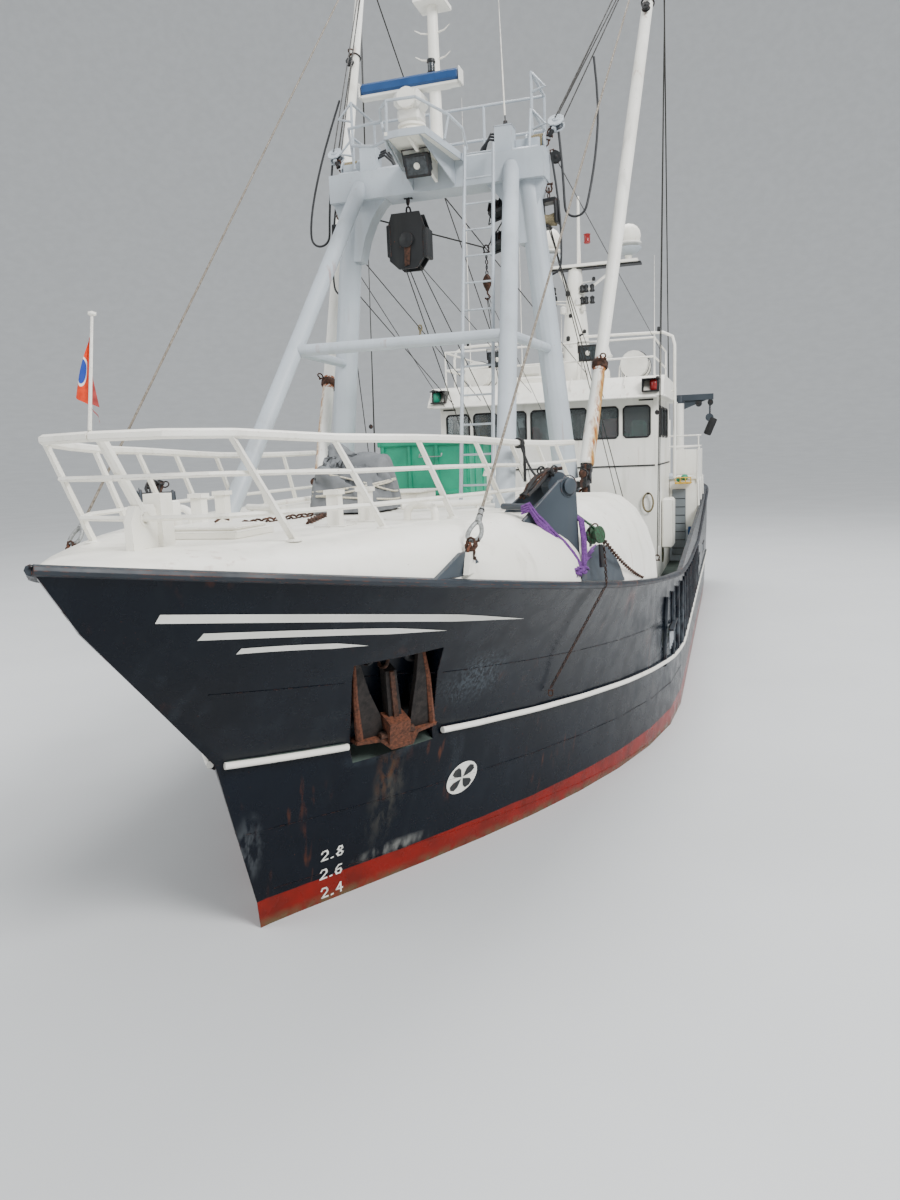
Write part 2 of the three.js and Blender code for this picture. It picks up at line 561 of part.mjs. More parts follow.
// Hoisting block under the crossbeam
const HOIST = { x: 3860, y: -430, top: 7260 };
const hoist = join(
  plateYZ([[-690, 7120], [-640, HOIST.top], [-240, HOIST.top], [-170, 7060], [-170, 6700], [-300, 6530], [-560, 6530],
    [-690, 6650]], HOIST.x - 100, HOIST.x + 100),
  rod(v(HOIST.x, HOIST.y, HOIST.top - 40), v(HOIST.x, HOIST.y, BEAM_Z - BEAM_DEPTH / 2 - GAP), 22, 22, 8),
  rod(v(HOIST.x - 120, HOIST.y, 6900), v(HOIST.x + 120, HOIST.y, 6900), 90, 90, 12),
);
add('hoist_block', hoist, SLATE);

// Derricks. The hinge's line runs from the heel through the guy's foot, so the guy stays taut
const heel = v(HEEL.x, HEEL.y, HEEL.z);
const guyFoot = v(GUY_FOOT.x, GUY_FOOT.y, GUY_FOOT.z);
const hingeLine = guyFoot.clone().sub(heel).normalize();
const derrickLine = v(-DERRICK_LEAN.aft, DERRICK_LEAN.out, 1).normalize();
const alongDerrick = (d) => heel.clone().addScaledVector(derrickLine, d);
const HEAD = 10200;
const derrick = join(
  rod(alongDerrick(120), alongDerrick(3000), 75, 95, 12),
  rod(alongDerrick(3000), alongDerrick(6000), 95, 95, 12),
  rod(alongDerrick(6000), alongDerrick(DERRICK_LENGTH), 95, 72, 12),
  rod(alongDerrick(1560), alongDerrick(1640), 102, 102, 12),
  rod(alongDerrick(130), alongDerrick(240), 84, 88, 12),
  rod(alongDerrick(-10), alongDerrick(140), 38, 42, 8),
  rod(heel.clone().addScaledVector(hingeLine, -155), heel.clone().addScaledVector(hingeLine, 155), 36, 36, 12),
);
addPair('derrick', derrick, WHITE);

// Heel brackets: two lugs that hold the hinge pin, on a shelf off the gantry's leg
function heelBracket() {
  const pieces = [rod(v(HEEL.x + 225, HEEL.y, HEEL.z - 165), v(HEEL.x - 225, HEEL.y, HEEL.z - 135), 42, 42, 8)];
  for (const side of [-1, 1]) {
    const at = heel.clone().addScaledVector(hingeLine, side * 192);
    const low = at.clone().add(v(0, 0, -160));
    pieces.push(rod(at.clone().addScaledVector(hingeLine, -25), at.clone().addScaledVector(hingeLine, 25), 62, 62, 10));
    pieces.push(block(low.x - 25, low.y - 45, low.z - 20, low.x + 25, low.y + 45, at.z - 30));
  }
  pieces.push(block(HEEL.x - 90, 1600, HEEL.z - 210, HEEL.x + 60, HEEL.y + 40, HEEL.z - 130));
  return join(...pieces);
}
const leg = cut(
  join(rod(LEG_FOOT.clone().setZ(DECK_Z - 100), LEG_TOP, LEG_R + 15, LEG_R - 15, 16), kneeFan, stub, heelBracket()),
  beamGrown, braceTool, stubTrim, block(0, 0, 0, 9000, 4000, DECK_Z + GAP),
);
addPair('gantry_leg', leg, GREY);

// Standing rigging that rides with each derrick: the guy to the bow and the topping lift
const headPoint = alongDerrick(HEAD);
const LIFT_FOOT = v(3560, 1790, 8260);
const strapOuter = rod(alongDerrick(HEAD - 60), alongDerrick(HEAD + 60), 118, 118, 16);
const strapBore = rod(alongDerrick(HEAD - 90), alongDerrick(HEAD + 90), 76.5, 74.9, 16);
const lugLine = v(1, 0, 0).addScaledVector(derrickLine, -derrickLine.x).normalize();
const lugAt = (side) => headPoint.clone().addScaledVector(lugLine, 205).add(v(0, side, 0));
function rigging() {
  const guyTop = lugAt(70);
  const liftTop = lugAt(-70);
  const toFoot = guyFoot.clone().sub(guyTop).normalize();
  const toLift = LIFT_FOOT.clone().sub(liftTop).normalize();
  const guyAt = (d) => guyFoot.clone().addScaledVector(toFoot, -d);
  const liftAt = (d) => liftTop.clone().addScaledVector(toLift, d);
  return cut(join(
    strapOuter,
    rod(headPoint, lugAt(0), 60, 45, 8),
    rod(lugAt(-95), lugAt(95), 32, 32, 8),
    rod(guyTop, guyAt(70), 14, 14, 6),
    rod(guyAt(330), guyAt(120), 22, 45, 8),
    rod(liftTop, LIFT_FOOT, 13, 13, 6),
    rod(liftAt(250), liftAt(560), 75, 75, 10),
    rod(LIFT_FOOT.clone().addScaledVector(toLift, -330), LIFT_FOOT, 75, 75, 10),
  ), strapBore);
}
addPair('derrick_rigging', rigging(), WIRE);

// Fish hatch: a coaming and a lid hinged on its aft edge
const HATCH = { x0: 300, x1: 1700, half: 700, z1: 1750 };
add('hatch_coaming', cut(
  block(HATCH.x0, -HATCH.half, DECK_Z + GAP, HATCH.x1, HATCH.half, HATCH.z1),
  block(HATCH.x0 + 50, -HATCH.half + 50, 1000, HATCH.x1 - 50, HATCH.half - 50, 2000),
), GREY);
add('hatch_lid', join(
  block(HATCH.x0 - 20, -HATCH.half - 20, HATCH.z1 + 6, HATCH.x1 + 20, HATCH.half + 20, HATCH.z1 + 60),
  rod(v(HATCH.x0 - 32, -500, HATCH.z1 + 36), v(HATCH.x0 - 32, 500, HATCH.z1 + 36), 20, 20, 8),
), GREY);

// Trawl winch in front of the house: a frame with two drums
const WINCH = { x: -1700, z: 1980, r: 430, drums: [[180, 920], [-920, -180]] };
const winchParts = [block(WINCH.x - 450, -1150, DECK_Z + GAP, WINCH.x + 450, 1150, DECK_Z + 120)];
for (const y of [-1100, 0, 1100]) {
  const half = y === 0 ? 120 : 60;
  winchParts.push(plateXZ([[WINCH.x - 420, 1250], [WINCH.x + 420, 1250], [WINCH.x + 130, 2150], [WINCH.x - 130, 2150]],
    y - half, y + half));
}
add('winch_frame', join(...winchParts), GREY);
for (const [i, [y0, y1]] of WINCH.drums.entries()) {
  const side = i === 0 ? 'port' : 'starboard';
  add(`winch_drum_${side}`, join(
    rod(v(WINCH.x, y0, WINCH.z), v(WINCH.x, y1, WINCH.z), 300, 300, 20),
    rod(v(WINCH.x, y0, WINCH.z), v(WINCH.x, y0 + 40, WINCH.z), WINCH.r, WINCH.r, 20),
    rod(v(WINCH.x, y1 - 40, WINCH.z), v(WINCH.x, y1, WINCH.z), WINCH.r, WINCH.r, 20),
  ), WIRE);
}

// Deckhouse and wheelhouse: side walls the full height, cut for windows and doors
const window4 = (x0, z0, x1, z1, r = 60) => [
  [x0 + r, z0], [x1 - r, z0], [x1, z0 + r], [x1, z1 - r], [x1 - r, z1], [x0 + r, z1], [x0, z1 - r], [x0, z0 + r],
];
const SIDE_DOOR = { x0: -7850, x1: -7330, z0: 1450, z1: 3050 };
const SIDE_WINDOWS = [[-3900, -3300], [-4800, -4050], [-5700, -4950]];
const SILL_Z = 4200;
const WINDOW_TOP = 4830;
const sideOutline = [
  [HOUSE_FRONT - WALL - GAP, DECK_Z + GAP], [HOUSE_FRONT - WALL - GAP, HEADER_Z], [BRIDGE_BACK, HEADER_Z],
  [BRIDGE_BACK, BOAT_DECK_Z], [HOUSE_BACK, BOAT_DECK_Z], [HOUSE_BACK, DECK_Z + GAP],
];
const sideHoles = SIDE_WINDOWS.map(([x0, x1]) => window4(x0, SILL_Z, x1, WINDOW_TOP));
sideHoles.push(window4(SIDE_DOOR.x0, SIDE_DOOR.z0, SIDE_DOOR.x1, SIDE_DOOR.z1, 80));
addPair('house_side', plateXZ(sideOutline, HOUSE_HALF - WALL, HOUSE_HALF, sideHoles), WHITE);

const CROWN = 180;     // how far the front wall bows forward
function frontPlan(offset) {
  const half = HOUSE_HALF;
  const points = [];
  for (let i = -4; i <= 4; i++) {
    points.push([HOUSE_FRONT - offset + CROWN * (1 - (i / 4) ** 2), (half * i) / 4]);
  }
  return points;
}
const frontStrip = [...frontPlan(0), ...frontPlan(WALL).reverse()];
let front = plateXY(frontStrip, DECK_Z + GAP, HEADER_Z);
const FRONT_WINDOWS = 7;
for (let i = 0; i < FRONT_WINDOWS; i++) {
  const y = (i - (FRONT_WINDOWS - 1) / 2) * 640;
  const opening = plateYZ(window4(y - 265, SILL_Z, y + 265, WINDOW_TOP), -3600, -2400);
  front = cut(front, opening);
}
add('house_front', front, WHITE);
add('house_back', block(HOUSE_BACK, -HOUSE_HALF + WALL + GAP, DECK_Z + GAP, HOUSE_BACK + WALL,
  HOUSE_HALF - WALL - GAP, BOAT_DECK_Z), WHITE);

const inner = HOUSE_HALF - WALL - GAP;
const deckFront = HOUSE_FRONT - WALL - 10;
add('boat_deck', join(
  block(BRIDGE_BACK - 200, -inner, BOAT_DECK_Z - 60, deckFront, inner, BOAT_DECK_Z - GAP),
  block(BRIDGE_BACK - 200, -inner, BOAT_DECK_Z - 40, BRIDGE_BACK - GAP, inner, BOAT_DECK_Z + 60),
  block(HOUSE_BACK - 150, -2450, BOAT_DECK_Z + GAP, BRIDGE_BACK - GAP, 2450, BOAT_DECK_Z + 60),
), WHITE);
const BACK_DOOR = { y0: 250, y1: 900, z0: 3400, z1: 4850 };
const backWall = plateYZ([[-inner, 3260 + GAP], [inner, 3260 + GAP], [inner, HEADER_Z], [-inner, HEADER_Z]],
  BRIDGE_BACK - WALL - GAP, BRIDGE_BACK - GAP);
add('wheelhouse_back', cut(backWall,
  block(-7000, BACK_DOOR.y0, BACK_DOOR.z0, -6000, BACK_DOOR.y1, BACK_DOOR.z1),
  plateYZ(window4(-1700, SILL_Z, -900, WINDOW_TOP), -7000, -6000),
  plateYZ(window4(-700, SILL_Z, 0, WINDOW_TOP), -7000, -6000)), WHITE);

const roofOutline = [
  [-2560, HEADER_Z + GAP], [-2700, 5180], [-2950, 5420], [-6500, 5420], [-6600, 5330], [-6600, HEADER_Z + GAP],
];
const roofHollow = block(BRIDGE_BACK + WALL, -2200, HEADER_Z - 10, HOUSE_FRONT - 150, 2200, HEADER_Z + 320);
const roof = cut(plateXZ(roofOutline, -2480, 2480), roofHollow);

// Doors, each hung 6 mm off its wall on its forward or outboard edge
const DOOR_OFF = 8;
addPair('side_door', join(
  block(SIDE_DOOR.x0 - 25, HOUSE_HALF + DOOR_OFF, SIDE_DOOR.z0 - 25, SIDE_DOOR.x1 + 10,
    HOUSE_HALF + DOOR_OFF + 45, SIDE_DOOR.z1 + 25),
  rod(v(SIDE_DOOR.x1 + 22, HOUSE_HALF + 35, 1700), v(SIDE_DOOR.x1 + 22, HOUSE_HALF + 35, 2850), 16, 16, 8),
), WHITE);
add('wheelhouse_door', join(
  block(BRIDGE_BACK - WALL - GAP - DOOR_OFF - 40, BACK_DOOR.y0 - 20, BACK_DOOR.z0 - 20,
    BRIDGE_BACK - WALL - GAP - DOOR_OFF, BACK_DOOR.y1 + 10, BACK_DOOR.z1 + 20),
  rod(v(BRIDGE_BACK - 96, BACK_DOOR.y1 + 20, 3600), v(BRIDGE_BACK - 96, BACK_DOOR.y1 + 20, 4700), 14, 14, 8),
), WHITE);

// Roof rail, life rafts and the aft mast with its domes
const ROOF_Z = 5420;
function roofRail() {
  const corners = [[-6350, -2250], [-3250, -2250], [-3250, 2250], [-6350, 2250]];
  const pieces = [];
  for (const z of [ROOF_Z + 400, ROOF_Z + 780]) {
    for (let i = 0; i < 3; i++) {
      pieces.push(rod(v(...corners[i], z), v(...corners[i + 1], z), 20, 20, 6));
    }
  }
  for (const [x, y] of [[-6350, 0], [-4800, 0], [-3250, 0]].flatMap(([x]) => [[x, -2250], [x, 2250]])) {
    pieces.push(rod(v(x, y, ROOF_Z - 50), v(x, y, ROOF_Z + 800), 20, 20, 6));
  }
  for (const y of [-750, 750]) {
    pieces.push(rod(v(-3250, y, ROOF_Z - 50), v(-3250, y, ROOF_Z + 800), 20, 20, 6));
  }
  return join(...pieces);
}
add('wheelhouse_roof', join(roof, roofRail()), WHITE);
addPair('life_raft', join(
  rod(v(-5000, 1750, 5760), v(-4000, 1750, 5760), 290, 290, 16),
  block(-4850, 1600, ROOF_Z + GAP, -4700, 1900, 5600),
  block(-4300, 1600, ROOF_Z + GAP, -4150, 1900, 5600),
), WHITE);

const AFT_MAST_X = -7050;
const DOMES = [[-650, 9150], [1310, 9040]];
const aftMastParts = [
  rod(v(AFT_MAST_X, 0, 3260 + GAP), v(AFT_MAST_X, 0, 8500), 230, 150, 14),
  block(AFT_MAST_X - 250, -900, 8420, AFT_MAST_X + 250, 1550, 8480),
  rod(v(AFT_MAST_X, 100, 8460), v(AFT_MAST_X, 100, 10100), 50, 30, 8),
];
for (const [y, z] of DOMES) {
  aftMastParts.push(new THREE.SphereGeometry(300, 12, 8).translate(AFT_MAST_X, y, z));
  aftMastParts.push(rod(v(AFT_MAST_X, y, 8460), v(AFT_MAST_X, y, z), 60, 180, 12));
}
add('aft_mast', join(...aftMastParts), WHITE);
add('exhaust_casing', join(
  block(-8700, -600, 3260 + GAP, -7700, 600, 4500),
  rod(v(-8200, -300, 4480), v(-8300, -300, 5500), 110, 110, 12),
  rod(v(-8200, 300, 4480), v(-8300, 300, 5500), 110, 110, 12),
), WHITE);

// Stern davit: a post on the aft deck and a boom that slews
const DAVIT = { x: -10100, y: 2350, top: 5150 };
add('davit_post', rod(v(DAVIT.x, DAVIT.y, DECK_Z + GAP), v(DAVIT.x, DAVIT.y, DAVIT.top - 10), 140, 110, 14), SLATE);
add('davit_boom', join(
  rod(v(DAVIT.x, DAVIT.y, DAVIT.top), v(DAVIT.x, DAVIT.y, DAVIT.top + 200), 120, 100, 14),
  block(DAVIT.x - 80, DAVIT.y - 600, DAVIT.top + 60, DAVIT.x + 80, DAVIT.y + 900, DAVIT.top + 220),
  rod(v(DAVIT.x, DAVIT.y + 800, DAVIT.top - 420), v(DAVIT.x, DAVIT.y + 800, DAVIT.top + 80), 18, 18, 6),
  rod(v(DAVIT.x - 60, DAVIT.y + 800, DAVIT.top - 420), v(DAVIT.x + 60, DAVIT.y + 800, DAVIT.top - 420), 110, 110, 12),
), SLATE);

// Propeller, nozzle and rudder
function propeller() {
  const pieces = [rod(v(PROPELLER_X - 170, 0, SHAFT_Z), v(PROPELLER_X + 320, 0, SHAFT_Z), 110, 120, 16)];
  for (let i = 0; i < 4; i++) {
    const blade = new THREE.SphereGeometry(1, 8, 6).scale(45, 250, PROPELLER_R / 2)
      .translate(0, 0, PROPELLER_R / 2)
      .rotateZ(0.5)
      .rotateX((Math.PI / 2) * i + 0.4)
      .translate(PROPELLER_X, 0, SHAFT_Z);
    pieces.push(blade);
  }
  return join(...pieces);
}
add('propeller', propeller(), BRONZE);
const nozzleProfile = [
  [800, -260], [860, -300], [930, -200], [940, 250], [880, 320], [815, 250], [795, 0], [800, -260],
].map(([r, x]) => new THREE.Vector2(r, x));
const nozzle = new THREE.LatheGeometry(nozzleProfile, 28).rotateZ(-Math.PI / 2).translate(PROPELLER_X, 0, SHAFT_Z);
const nozzleNeck = block(PROPELLER_X - 150, -70, SHAFT_Z + 860, PROPELLER_X + 150, 70, SHAFT_Z + 1200);
const hullRaisedTool = hull.clone().translate(0, 0, -GAP);
add('nozzle', cut(join(nozzle, nozzleNeck), hullRaisedTool), BOOT_RED);
const rudderShape = new THREE.Shape();
rudderShape.moveTo(280, 0);
rudderShape.quadraticCurveTo(230, 95, 0, 95);
rudderShape.lineTo(-650, 15);
rudderShape.lineTo(-650, -15);
rudderShape.lineTo(0, -95);
rudderShape.quadraticCurveTo(230, -95, 280, 0);
const rudderBlade = new THREE.ExtrudeGeometry(rudderShape, { depth: 1830, bevelEnabled: false, curveSegments: 6 })
  .translate(RUDDER_X, 0, -2570);
add('rudder', join(rudderBlade, rod(v(RUDDER_X, 0, -800), v(RUDDER_X, 0, 200), 90, 90, 16)), BOOT_RED);

// Pennant on its staff, clamped on the bow rail
const STAFF = { foot: v(11240, 0, 4234 + GAP), top: v(11110, 0, 4960) };
add('flagstaff', rod(STAFF.foot, STAFF.top, 13, 9, 8), WHITE);
add('pennant', plateYZ([[-13, 4930], [-120, 4700], [-105, 4560], [-30, 4470], [-16, 4600]], 11128, 11140)
  , ORANGE);

export default trawler;
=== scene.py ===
# %% [markdown]
# # Dressing a 24 m steel fishing trawler
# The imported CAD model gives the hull, house, gantry and moving gear, in metres: +X to the bow,
# +Y to port, +Z up, z = 0 on the water. What makes it a working boat is paint, rust, wire and
# cloth. This lesson adds those in the order a yard would: plating, fittings, rigging, glass.

# %% Load the CAD model
import json
import math
import random
from functools import partial
import bpy
import numpy as np
from mathutils import Matrix, Vector, noise
from mathutils.bvhtree import BVHTree

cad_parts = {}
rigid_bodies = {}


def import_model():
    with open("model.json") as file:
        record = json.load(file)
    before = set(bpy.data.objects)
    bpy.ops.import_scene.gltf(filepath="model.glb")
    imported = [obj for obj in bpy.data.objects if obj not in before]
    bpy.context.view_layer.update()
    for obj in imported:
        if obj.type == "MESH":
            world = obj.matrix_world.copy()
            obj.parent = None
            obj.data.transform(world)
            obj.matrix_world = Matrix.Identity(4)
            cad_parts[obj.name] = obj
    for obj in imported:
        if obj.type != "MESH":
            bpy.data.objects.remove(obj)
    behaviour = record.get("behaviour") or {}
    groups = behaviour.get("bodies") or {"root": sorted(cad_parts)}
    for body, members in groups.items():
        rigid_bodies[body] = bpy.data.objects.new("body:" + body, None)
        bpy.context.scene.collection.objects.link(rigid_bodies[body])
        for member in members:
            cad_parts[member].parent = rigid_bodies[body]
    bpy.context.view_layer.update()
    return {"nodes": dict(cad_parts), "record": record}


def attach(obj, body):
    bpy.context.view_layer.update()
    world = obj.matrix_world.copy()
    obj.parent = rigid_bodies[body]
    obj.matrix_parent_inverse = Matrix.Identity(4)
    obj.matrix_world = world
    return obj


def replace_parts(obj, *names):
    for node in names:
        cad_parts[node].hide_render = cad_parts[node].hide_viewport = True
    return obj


for leftover in list(bpy.data.objects):
    bpy.data.objects.remove(leftover)
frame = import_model()
random.seed(7)

# %% [markdown]
# ## The camera
# The photograph was taken by hand from the quay, a little above the rail and close to the port
# bow. A wide lens near the ship makes the bow loom. The place and the angles below were solved
# from the beam, the draught marks and the port and starboard pairs of fittings.

# %% Camera
CAMERA = Vector((16.017, 3.898, 4.004))
YAW, PITCH, ROLL = -0.314, 0.162, -0.039
FOCAL_PIXELS = 892.12            # for a picture 900 x 1200 pixels
look = Vector((-math.cos(YAW) * math.cos(PITCH), math.sin(YAW) * math.cos(PITCH), -math.sin(PITCH)))
level = look.cross(Vector((0, 0, 1))).normalized()
upright = level.cross(look)
right = math.cos(ROLL) * level + math.sin(ROLL) * upright
up = -math.sin(ROLL) * level + math.cos(ROLL) * upright
camera = bpy.data.objects.new("camera", bpy.data.cameras.new("camera"))
bpy.context.collection.objects.link(camera)
rotation = np.eye(4)
rotation[:3, 0], rotation[:3, 1], rotation[:3, 2], rotation[:3, 3] = right, up, -look, CAMERA
camera.matrix_world = Matrix(rotation.tolist())
camera.data.sensor_width = 36
camera.data.lens = FOCAL_PIXELS * 36 / 1200
camera.data.clip_end = 500
bpy.context.scene.camera = camera
print("lens", round(camera.data.lens, 2), "mm")

# %% [markdown]
# ## Colour and shader nodes
# Colours are read off paint cards as sRGB hex, and Blender's shaders want linear light, so one
# function converts them. Another adds a shader node with its settings and its links: a value
# given to a socket is either a plain number or another node's output. The rest are the few
# sums on masks that every finish below is made of.

# %% Colour and nodes
def paint(text, alpha=1):
    """sRGB hex to linear RGBA."""
    parts = [int(text[i:i + 2], 16) / 255 for i in (1, 3, 5)]
    return (*[c / 12.92 if c <= 0.04045 else ((c + 0.055) / 1.055) ** 2.4 for c in parts], alpha)


def node(tree, kind, sockets=None, out=0, **settings):
    """Adds a node, fills its sockets with values or links, and returns one of its outputs."""
    made = tree.nodes.new("ShaderNode" + kind)
    for key, value in settings.items():
        setattr(made, key, value)
    for key, value in (sockets or {}).items():
        if isinstance(value, bpy.types.NodeSocket):
            tree.links.new(value, made.inputs[key])
        else:
            made.inputs[key].default_value = value
    return made.outputs[out]


def blank(name):
    """A new material with its shader, and the coordinates in metres in the ship's frame."""
    material = bpy.data.materials.new(name)
    material.use_nodes = True
    tree = material.node_tree
    return material, tree, tree.nodes["Principled BSDF"], node(tree, "TexCoord", out=3)


def cover(tree, below, above, mask):
    """Lays one colour over another where the mask is 1."""
    return node(tree, "Mix", {0: mask, 6: below, 7: above}, out=2, data_type="RGBA")


def remap(tree, value, start, end, low=0, high=1):
    """Stretches the range from start to end over the one from low to high, and stops at its ends."""
    return node(tree, "MapRange", {"Value": value, "From Min": start, "From Max": end, "To Min": low,
        "To Max": high})


def vector(tree, operation, a, b=None):
    """A sum with vectors. A length or a dot product comes out as a number."""
    ends = {0: a} if b is None else {0: a, 1: b}
    return node(tree, "VectorMath", ends, int(operation in ("LENGTH", "DOT_PRODUCT")), operation=operation)


def cloud(tree, place, scale, detail):
    """Soft noise, with so many cells to the metre."""
    return node(tree, "TexNoise", {"Vector": place, "Scale": scale, "Detail": detail})


def dented(tree, normal, height, distance, strength=1):
    """The normal, tilted as if the surface stood out by the height times the distance in metres."""
    return node(tree, "Bump", {"Height": height, "Distance": distance, "Strength": strength,
        "Normal": normal})


def distance(tree, place, centre, reach):
    """How far a place lies from a centre, counted in reaches."""
    return vector(tree, "LENGTH", vector(tree, "DIVIDE", vector(tree, "SUBTRACT", place, centre), reach))


def reopened(material):
    """A finished material's tree, shader and coordinates, and the colour that it has so far."""
    tree = material.node_tree
    shader = tree.nodes["Principled BSDF"]
    return tree, shader, node(tree, "TexCoord", out=3), shader.inputs["Base Color"].links[0].from_socket


def patches(tree, place, size_mm, low, high, detail=3, stretch=(1, 1, 1)):
    """A mask of soft patches about size_mm across. Stretch below 1 draws them out along an axis."""
    drawn = node(tree, "Mapping", {"Vector": place, "Scale": stretch})
    return remap(tree, cloud(tree, drawn, 1000 / size_mm, detail), low, high)


def both(tree, a, b):
    """The product of two masks."""
    return node(tree, "Math", {0: a, 1: b}, operation="MULTIPLY")


def smear(tree, place, centre, reach, size_mm=40, low=0.42, high=0.62):
    """A mask around one spot, broken up by a cloud and drawn out downward."""
    near = remap(tree, distance(tree, place, centre, reach), 1, 0.25)
    return both(tree, near, patches(tree, place, size_mm, low, high, 5, (1, 1, 0.35)))


print("mid grey #808080 is", round(paint("#808080")[0], 3), "in linear light")

# %% [markdown]
# ## Ship's paint on steel
# A trawler is coated with two-pack marine paint by roller, over plate that the welding has
# pulled slightly hollow between its frames. Salt dulls it, water leaves grey runs, and rust
# starts at edges, where the film is thinnest. So the material is layered the same way: paint,
# chalking, runs drawn out downward, then rust found by comparing the true surface with a
# rounded one, which differ only at edges. The rounding also softens every plate edge.

# %% Painted steel
def painted_steel(name, coat, chalk, rust=0.5, runs=0.4, gloss=0.38, soft=0.006, hollow=0.004,
        grime="#5d5a50", index=1.45):
    """Two-pack marine paint on welded plate: coat and chalk are hex colours."""
    material, tree, shader, place = blank(name)
    rounded = node(tree, "Bevel", {"Radius": soft}, samples=4)
    flat = node(tree, "NewGeometry", out=1)
    likeness = vector(tree, "DOT_PRODUCT", rounded, flat)
    edge = remap(tree, likeness, 0.995, 0.9)
    colour = cover(tree, paint(coat), paint(chalk), patches(tree, place, 900, 0.35, 0.75))
    speckled = patches(tree, place, 45, 0.55, 0.8, 5)
    colour = cover(tree, colour, paint(chalk), both(tree, speckled, 0.35))
    wet = patches(tree, place, 140, 0.52, 0.78, 4, (1, 1, 0.07))
    where = patches(tree, place, 1300, 0.42, 0.62)
    run = both(tree, both(tree, wet, where), runs)
    colour = cover(tree, colour, paint(grime), run)
    weep = patches(tree, place, 90, 0.6, 0.72, 3, (1, 1, 0.06))
    source = patches(tree, place, 1100, 0.55, 0.66)
    colour = cover(tree, colour, paint("#8a4a22"), both(tree, both(tree, weep, source), rust * 1.3))
    bitten = patches(tree, place, 60, 0.5, 0.6, 6)
    eaten = both(tree, both(tree, edge, bitten), min(1, rust * 1.6))
    colour = cover(tree, colour, paint("#6e3a1e"), eaten)
    spots = both(tree, patches(tree, place, 26, 0.71, 0.76, 2), patches(tree, place, 700, 0.5, 0.65))
    colour = cover(tree, colour, paint("#7b431f"), both(tree, spots, min(1, rust * 2)))
    worn = node(tree, "Math", {0: eaten, 1: spots}, operation="MAXIMUM")
    dull = patches(tree, place, 220, 0.3, 0.8)
    rough = remap(tree, dull, 0, 1, gloss, gloss + 0.2)
    rough = node(tree, "Mix", {0: worn, 2: rough, 3: 0.85})
    plate = cloud(tree, place, 2.2, 1)
    skin = cloud(tree, place, 120, 2)
    bump = dented(tree, rounded, plate, hollow * 8, 0.6)
    bump = dented(tree, bump, skin, 0.0006, 0.5)
    bump = dented(tree, bump, worn, -0.002, 0.6)
    for socket, value in (("Base Color", colour), ("Roughness", rough), ("Normal", bump)):
        tree.links.new(value, shader.inputs[socket])
    shader.inputs["IOR"].default_value = index
    return material


WHITE = painted_steel("white_marine_paint", "#f2f0e8", "#e4e1d5", rust=0.35, runs=0.34, grime="#8f8772")
GREY = painted_steel("light_grey_marine_paint", "#b3bbc2", "#a3aab0", rust=0.45, runs=0.3, grime="#7d7a70")
SLATE = painted_steel("slate_marine_paint", "#2a323a", "#3a434b", rust=0.5, runs=0.3)
DARK = painted_steel("black_marine_paint", "#121416", "#1d2023", rust=0.4, runs=0.3)
print(len(bpy.data.materials), "materials")

# %% [markdown]
# ## The hull's paint
# The topsides are navy, with red boot-topping from just above the water down. The line between
# them was cut in by hand along a batten and is scuffed by fenders and ice. Navy shows dust and
# salt as pale bloom, so its chalk is lighter than the coat.

# %% Hull paint
BOOT_TOP = 0.25            # metres above the water
HULL = painted_steel("navy_topside_paint", "#060b14", "#0b131d", rust=0.2, runs=0.2, gloss=0.2, soft=0.012,
    hollow=0.0012, grime="#3f474d", index=1.36)
tree, shader, place, topside = reopened(HULL)
height = node(tree, "SeparateXYZ", {0: place}, out=2)
wave = cloud(tree, place, 3, 6)
ragged = remap(tree, wave, 0, 1, -0.012, 0.012)
line = node(tree, "Math", {0: height, 1: ragged}, operation="ADD")
below = remap(tree, line, BOOT_TOP + 0.006, BOOT_TOP)
shader.inputs["Specular IOR Level"].default_value = 0.3
for centre, reach, size_mm, colour, part in (((8.73, 0.85, 0.92), (0.2, 0.6, 0.6), 70, "#3d3b36", 0.8),
        ((8.78, 0.9, 1.22), (0.14, 0.5, 0.42), 45, "#5d3b20", 0.5),
        ((8.8, 0.92, 1.38), (0.55, 0.6, 0.12), 200, "#2f3941", 0.8),
        ((9.87, 0.04, 0.75), (0.16, 0.2, 0.45), 60, "#6b7073", 0.4),
        ((5.55, 2.75, 2.28), (0.34, 0.6, 0.22), 120, "#451c18", 0.8),
        ((8.5, 0.8, 0.31), (0.5, 0.6, 0.09), 110, "#7d7e7a", 0.8), ((8.25, 1.65, 1.95), (0.5, 0.6, 0.35), 25,
        "#505a62", 0.5), ((2.5, 3.1, 1.3), (2.6, 0.6, 0.7), 60, "#565d63", 0.6),
        ((-4.5, 3.1, 1.1), (4, 0.6, 0.8), 80, "#5a5f63", 0.6)):
    topside = cover(tree, topside, paint(colour), both(tree, smear(tree, place, centre, reach, size_mm),
        part))
red = cover(tree, paint("#7d1810"), paint("#5f1a12"), patches(tree, place, 260, 0.4, 0.7, 5))
slime = remap(tree, line, 0.1, 0.02)
red = cover(tree, red, paint("#5a4a34"), both(tree, slime, patches(tree, place, 120, 0.3, 0.6, 5)))
tree.links.new(cover(tree, topside, red, below), shader.inputs["Base Color"])

print("boot-topping up to", BOOT_TOP, "m above the water")

# %% [markdown]
# ## A finish for every slot
# Each CAD node names its finish in the part's record. Every finish is one real substance, drawn
# as two tones in patches with a fine grain, and as rough as wear and weather leave it.

